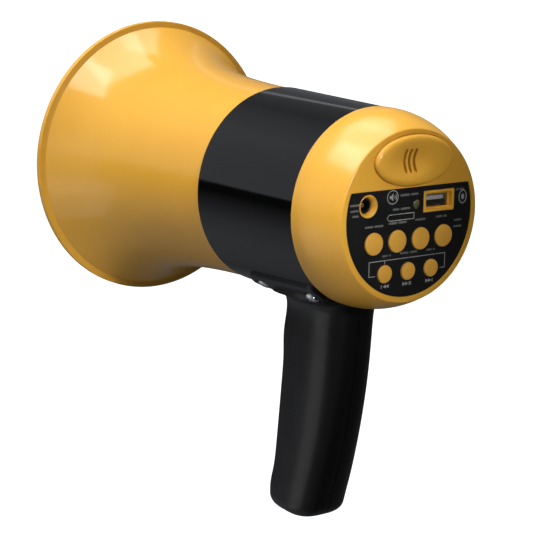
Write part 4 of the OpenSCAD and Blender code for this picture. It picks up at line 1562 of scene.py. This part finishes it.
@dataclass
class Handle:
    """The pistol grip in two halves, with the saddle that hugs the barrel."""

    barrel: Barrel
    width: float = 33.0
    wall: float = 2.6
    top: float = 48.0
    lean: float = 0.085
    sweep: float = 22.3
    foot_r: float = 6.0
    saddle_half: float = 33.0
    saddle_t: float = 2.5
    saddle_reach: tuple[float, float] = (57.2, 1.2)
    saddle_corner: float = 6.0
    saddle_fillet: float = 1.1
    screw_slope: float = 58.0
    head_r: float = 3.7
    skin: float = 1.3
    drop: float = 165.99
    slot_half: float = 7.2
    slot_depths: tuple[float, float] = (57.3, 91.7)
    slot_len: float = 23.0
    groove_half: float = 0.22
    groove_depth: float = 0.3
    half_gap: float = 0.05
    screw_seat_x: float = -11.0

    @property
    def cover_y(self) -> float:
        """Station of the barrel's rear end, which every place on the grip is measured from."""
        return self.barrel.span.high[1]

    @property
    def saddle_screw_places(self) -> tuple[float, float]:
        """Stations of the two rows of saddle screws."""
        return self.cover_y - 48.2, self.cover_y - 9.2

    @property
    def boss_places(self) -> list[tuple[float, float]]:
        """Station and height of the three screws that join the halves."""
        return [(self.cover_y - 18.2, -66), (self.cover_y - 21.7, -112), (self.cover_y - 45, -158.6)]

    def front(self, d: np.ndarray) -> np.ndarray:
        """The front's station at a depth: a lean, with soft swells behind the trigger and at the foot."""
        swell = 1.6 * np.exp(-(((d - 71) / 10) ** 2)) + 2 * np.exp(-(((d - self.drop + 11) / 9) ** 2))
        return self.cover_y - 51.7 - self.lean * (d - self.top) - swell

    def back(self, d: np.ndarray) -> np.ndarray:
        """The back's station at a depth: it sweeps forward with the square of the depth."""
        return self.cover_y - 6.2 - self.sweep * ((d - self.top) / (self.drop - self.top)) ** 2

    def ring(self, d: np.ndarray, inset: np.ndarray, flared: bool) -> np.ndarray:
        """Outlines of the grip: superellipses of power 3, flared where they meet the saddle.

        Args:
            d: Depths below the horn's axis.
            inset: How far each outline is shrunk.
            flared: The root widens into the saddle.

        Returns:
            Array of depths x points x 3.
        """
        turn = np.linspace(0, 2 * np.pi, 128, endpoint=False) + np.pi / 128
        bow_c, bow_s = bowed(np.cos(turn), 3), bowed(np.sin(turn), 3)
        d, inset = d[:, None], inset[:, None]
        spread = np.exp(-np.clip(d - 46.5, 0, None) / 2.8) if flared else 0 * d
        front = self.front(d) - 1.6 * spread + inset
        back = self.back(d) + 3 * spread - inset
        half = self.width / 2 + 12 * spread - inset
        slant = math.tan(math.radians(4)) * ((d - 38) / (self.drop - 38)) ** 4
        away = (back - front) / 2 * bow_s
        return np.stack([half * bow_c, (front + back) / 2 + away, -d - slant * away], -1)

    def solid(self, inset: float = 0.0, start: float = 38.0) -> Surface:
        """The grip as one solid, shrunk by an inset, with a rounded foot.

        Args:
            inset: How far it is shrunk.
            start: Depth of its upper end.

        Returns:
            The closed solid.
        """
        depths = np.concatenate([np.linspace(start, 46, 4), np.linspace(46.5, 62, 26),
                                 np.linspace(63.5, self.drop - self.foot_r, 60)])
        turn = np.linspace(0, np.pi / 2, 12)[1:]
        foot = self.drop - self.foot_r + (self.foot_r - inset) * np.sin(turn)
        tuck = inset + (self.foot_r - inset) * (1 - np.cos(turn)) * 0.9
        d = np.concatenate([depths, foot])
        shrink = np.concatenate([np.full(len(depths), inset), tuck])
        return grid(self.ring(d, shrink, True))

    def hollow(self) -> Surface:
        """The space inside the grip."""
        d = np.linspace(50.5, self.drop - self.wall, 40)
        return grid(self.ring(d, np.full(40, self.wall), False))

    def saddle_ring(self, inset: float, share: float, height: float) -> np.ndarray:
        """One outline of the saddle: a rounded rectangle laid on the barrel.

        Args:
            inset: How far the rectangle is shrunk.
            share: Its size, as a share of the whole.
            height: Height above the barrel.

        Returns:
            Array of points x 3.
        """
        y0, y1 = (self.cover_y - reach for reach in self.saddle_reach)
        corner = self.saddle_corner - inset / 2
        flat = round_rect(self.saddle_half - inset, (y1 - y0) / 2 - inset, corner, 12) * share
        y = flat[:, 1] + (y0 + y1) / 2
        r = self.barrel.radius(y) + height
        return np.stack([flat[:, 0], y, -np.sqrt(r**2 - flat[:, 0] ** 2)], -1)

    def saddle(self) -> Surface:
        """The saddle: rounded rectangles laid on the barrel, with a quarter round at the edge.

        Returns:
            The closed saddle.
        """
        fillet = self.saddle_fillet
        rows = [self.saddle_ring(0, share, -0.6) for share in np.linspace(0, 1, 14)]
        for a in np.linspace(0, np.pi / 2, 7):
            height = self.saddle_t - fillet * (1 - math.sin(a))
            rows.append(self.saddle_ring(fillet * (1 - math.cos(a)), 1, height))
        rows += [self.saddle_ring(fillet, share, self.saddle_t) for share in np.linspace(1, 0, 14)[1:]]
        return grid(np.array(rows), capped=False)

    def screw_way(self, sign: int) -> np.ndarray:
        """The direction that a saddle screw's head points: down and out."""
        a = math.radians(self.screw_slope)
        return np.array([sign * math.cos(a), 0, -math.sin(a)])

    def openings(self) -> list[tuple[Cut, Surface]]:
        """Recesses for the screws, the trigger's slot, the cable's hole and the groove at the joint.

        Returns:
            Each solid to take away.
        """
        made = []
        seat = self.barrel.front_r + 0.6
        for y in self.saddle_screw_places:
            for sign in (1, -1):
                way = self.screw_way(sign)
                made.append((Cut.TAKE, rod(way * 40 + [0, y, 0], way * 70 + [0, y, 0], 1.9, 24)))
                made.append((Cut.TAKE, rod(way * seat + [0, y, 0], way * (seat + 12) + [0, y, 0],
                                           self.head_r + 0.5, 40, 0.8)))
        slot_y = float(self.front(np.array(90.0))) - 12
        top, foot = self.slot_depths
        slot = block((-self.slot_half, slot_y, -foot), (self.slot_half, slot_y + self.slot_len, -top))
        made.append((Cut.TAKE, slot))
        made.append((Cut.TAKE, self.barrel.cable_hole()))
        groove = block((-self.groove_half, 100, -170), (self.groove_half, 200, -56))
        made.append((Cut.TAKE, carved(groove, (Cut.TAKE, self.solid(self.groove_depth)))))
        return made

    def build(self) -> None:
        """Builds both halves and every screw in them."""
        whole = carved(self.solid(), (Cut.ADD, self.saddle()), (Cut.TAKE, self.barrel.envelope(0.05)),
                       (Cut.TAKE, self.hollow()), *self.openings())
        core = self.solid(self.skin)
        for side in Side:
            node, sign = side.value
            low, high = sorted((self.half_gap * sign, 100.0 * sign))
            steps = [(Cut.KEEP, block((low, 90, -200), (high, 250, 0))),
                     (Cut.ADD, carved(cad_solid(node), (Cut.KEEP, core)))]
            if side is Side.RIGHT:
                wells = [rod((self.screw_seat_x, y, z), (-20, y, z), 2.8, 40, 0.4) for y, z in self.boss_places]
                steps += [(Cut.TAKE, well) for well in wells]
            piece(f"{node}_shell", carved(whole, *steps), Finish.GRIP,
                  Role("casing", "grip_plastic", (node,), 28))
        self.build_screws()

    def build_screws(self) -> None:
        """Builds the saddle's bright screws and the plain ones that join the halves."""
        seat = self.barrel.front_r + 0.65
        bright = PanScrew(1.7, seat - 39, self.head_r, 2.2)
        ways = [(y, self.screw_way(sign)) for y in self.saddle_screw_places for sign in (1, -1)]
        made = joined(bright.along(way * seat + [0, y, 0], way) for y, way in ways)
        piece("saddle_screw_set", made, Finish.CHROME, Role("casing", "screw_chrome", ("saddle_screws",)))
        plain = PanScrew(1.3, 19, 2.5, 1.9)
        made = joined(plain.along((self.screw_seat_x, y, z), (-1, 0, 0)) for y, z in self.boss_places)
        piece("handle_screw_set", made, Finish.ZINC, Role("casing", "zinc_screw", ("handle_screws",)))


@dataclass
class Trigger:
    """The talk trigger: a crowned blade with rounded edges on the hub and ears behind it."""

    handle: Handle
    bulge: float = 1.6
    edge: float = 1.3
    depth: float = 3.4
    half: float = 6.9
    top: float = 57.7
    foot: float = 90.5
    span: Span = field(default_factory=lambda: Span.of("trigger"))

    def blade(self) -> Surface:
        """The blade: superelliptic outlines whose front bulges as a half sine, tucked in at both ends.

        Returns:
            The closed blade.
        """
        half, top, foot = self.half, self.top, self.foot
        turn = np.linspace(0, np.pi / 2, 6)
        tuck = self.edge * (1 - np.sin(turn))
        d = np.concatenate([top + self.edge * (1 - np.cos(turn)), np.linspace(top + 2, foot - 2, 36),
                            (foot - self.edge * (1 - np.cos(turn)))[::-1]])
        inset = np.concatenate([tuck, np.zeros(36), tuck[::-1]])
        rise = np.sin(np.pi * np.clip((d - 57.6) / 33, 0, 1)) ** 0.8
        front = self.handle.front(d) - 0.2 - self.bulge * rise
        around = np.linspace(0, 2 * np.pi, 96, endpoint=False)
        c, s = bowed(np.cos(around), 4), bowed(np.sin(around), 4)
        x = (half - inset)[:, None] * c
        back = (self.handle.front(d) + self.depth)[:, None]
        front = (front + inset)[:, None]
        crown = 0.9 * (x / half) ** 2 * (s < 0) * -s
        y = (front + back) / 2 + (back - front) / 2 * s + crown
        return grid(np.stack([x, y, -d[:, None] + 0 * x], -1))

    def build(self) -> None:
        """Builds the trigger."""
        behind = float(self.handle.front(np.array(76.0))) + 1.2
        zone = block((-12, behind, -120), (12, behind + 40, -40))
        mechanism = carved(cad_solid("trigger"), (Cut.KEEP, zone))
        piece("trigger_blade", carved(self.blade(), (Cut.ADD, mechanism)), Finish.GRIP,
              Role("trigger", "grip_plastic", ("trigger",), 30))


# ---- Everything inside ----


DRESSED: dict[str, Finish] = {
    "usb_port_shell": Finish.PORT_STEEL,
    "usb_port_tongue": Finish.TONGUE,
    "charging_jack": Finish.JACK,
    "charging_jack_pin": Finish.PORT_STEEL,
    "microphone_boot": Finish.RUBBER,
    "microphone_capsule": Finish.ZINC,
    "main_board": Finish.BOARD,
    "board_screws": Finish.ZINC,
    "key_switches": Finish.CHIP,
    "board_chips": Finish.CHIP,
    "capacitors": Finish.SLEEVE,
    "lead_headers": Finish.HEADER,
    "throat_screws": Finish.ZINC,
    "driver_gasket": Finish.RUBBER,
    "driver_cap": Finish.JACK,
    "driver_diaphragm": Finish.FILM,
    "voice_coil": Finish.COIL,
    "driver_top_plate": Finish.ZINC,
    "driver_magnet": Finish.MAGNET,
    "driver_yoke": Finish.ZINC,
    "driver_screws": Finish.ZINC,
    "trigger_pin": Finish.ZINC,
    "trigger_spring": Finish.SPRING,
    "trigger_switch": Finish.CHIP,
    "battery_cell": Finish.CELL,
    "battery_tabs": Finish.NICKEL,
    "battery_leads": Finish.RED_LEAD,
    "trigger_leads": Finish.GREY_LEAD,
    "driver_leads": Finish.BLACK_LEAD,
    "microphone_leads": Finish.BLACK_LEAD,
}


# ---- Stage ----


def way_to(bearing: float, height: float) -> Vector:
    """The direction at a bearing, from -Y towards +X, and at a height, both in degrees."""
    a, e = math.radians(bearing), math.radians(height)
    return Vector((math.sin(a) * math.cos(e), -math.cos(a) * math.cos(e), math.sin(e)))


@dataclass(frozen=True)
class SoftBox:
    """A soft light: the way it lies from the object, how far, how large and how bright."""

    name: str
    bearing: float
    height: float
    away: float
    size: tuple[float, float]
    radiance: float
    aim: tuple[float, float, float] = (0.0, 0.12, 0.0)
    spread: float = 180.0

    def build(self) -> None:
        """Places the light, turned to its aim. Its power is radiance times pi times its area."""
        way = way_to(self.bearing, self.height)
        data = bpy.data.lights.new(self.name, "AREA")
        data.shape, data.size, data.size_y = "RECTANGLE", self.size[0], self.size[1]
        data.energy = self.radiance * math.pi * self.size[0] * self.size[1]
        data.spread = math.radians(self.spread)
        lamp = linked(self.name, data)
        lamp.location = Vector(self.aim) + way * self.away
        lamp.rotation_mode = "QUATERNION"
        lamp.rotation_quaternion = way.to_track_quat("Z", "Y")
        lamp.visible_camera = False


@dataclass
class Stage:
    """The camera, a pale floor, a soft sky and the lights."""

    eye: tuple[float, float, float] = (0.5865, 0.8913, 0.1600)
    bearing: float = 143.119
    height: float = 11.832
    roll: float = 1.202
    lens: float = 128.33
    floor_z: float = -1.3
    floor_r: float = 60.0
    boxes: tuple[SoftBox, ...] = (
        SoftBox("key_softbox", 79, 59, 1.2, (0.7, 0.46), 4.8),
        SoftBox("right_softbox", -45, 65, 1.2, (0.45, 0.5), 2.2),
        SoftBox("top_softbox", 20, 80, 1.2, (0.9, 0.9), 3.1),
        SoftBox("rear_softbox", 120, 62, 0.9, (0.5, 0.5), 2.7),
        SoftBox("panel_beam", 174, 17, 0.8, (0.12, 0.12), 0.8, (0.05, 0.215, 0.0), 12),
        SoftBox("side_fill", 80, -5, 0.5, (0.3, 0.4), 0.3, (0.0, 0.05, 0.0)),
        SoftBox("low_fill", 72, -30, 1.2, (0.9, 0.6), 0.5),
        SoftBox("strip", -27, 27, 1.2, (0.9, 0.06), 0.4),
    )

    def camera(self) -> None:
        """Places the camera."""
        back = way_to(self.bearing, self.height)
        level = Vector((0, 0, 1)).cross(back).normalized()
        above = back.cross(level)
        r = math.radians(self.roll)
        right = math.cos(r) * level + math.sin(r) * above
        up = -math.sin(r) * level + math.cos(r) * above
        data = bpy.data.cameras.new("camera")
        data.sensor_width, data.lens = 36.0, self.lens
        data.clip_start, data.clip_end = 0.01, 50.0
        eye = linked("camera", data)
        eye.rotation_mode = "QUATERNION"
        eye.rotation_quaternion = Matrix((right, up, back)).transposed().to_quaternion()
        eye.location = self.eye
        bpy.context.scene.camera = eye

    def floor(self) -> None:
        """A wide pale floor that glows faintly, so that it stays even."""
        disc = ellipse(self.floor_r, self.floor_r)
        ring = np.stack([disc[:, 0], disc[:, 1], np.full(len(disc), self.floor_z)], -1)
        mesh = bpy.data.meshes.new("floor")
        mesh.from_pydata(ring.tolist(), [], [tuple(range(len(disc)))])
        bench = Bench("floor_paper")
        fibres = bench.spread(bench.noise(0.02, 4), 0.3, 0.7, 0.72, 0.8)
        bench.feed(bench.shader, Roughness=fibres, Base_Color=(0.9, 0.9, 0.9, 1),
                   Emission_Color=(1, 1, 1, 1), Emission_Strength=1.0)
        mesh.materials.append(bench.material)
        made = linked("floor", mesh)
        made.visible_glossy = False
        made.visible_diffuse = False

    def sky(self) -> None:
        """A soft room: light above the table, a dark line below it, dimmer off the speaker's left."""
        world = bpy.data.worlds.new("room")
        bpy.context.scene.world = world
        world.use_nodes = True
        room = Graph(world.node_tree)
        x, y, z = room.axes(room.add("ShaderNodeTexCoord").outputs["Generated"])
        level = room.math("ADD", room.spread(z, 0.0, 0.02, 0.01, 1), room.spread(z, -0.42, -0.09, 0.56, 0))
        sideways = room.spread(x, -0.2, 0.3, 0.15, 0.46)
        behind = room.spread(y, 0.1, 0.5, 1, 0.45)
        glow = room.math("MULTIPLY", room.math("MULTIPLY", level, sideways), behind)
        room.feed(room.tree.nodes["Background"], Strength=glow, Color=(0.96, 0.99, 1.06, 1))

    def build(self) -> None:
        """Builds the whole stage."""
        self.camera()
        self.floor()
        self.sky()
        for box in self.boxes:
            box.build()
        bpy.context.scene.view_settings.view_transform = "Standard"


def main() -> None:
    """Builds the stage, every sub-assembly and the inside, in order."""
    logging.basicConfig(level=logging.INFO, format="%(name)s: %(message)s")
    Stage().build()
    Horn().build()
    barrel = Barrel()
    barrel.build()
    RearCover().build()
    ControlPanel().build()
    for button in Buttons:
        PushButton(button).build()
    handle = Handle(barrel)
    handle.build()
    Trigger(handle).build()
    for node, finish in DRESSED.items():
        dress(node, finish)


if __name__ == "__main__":
    main()
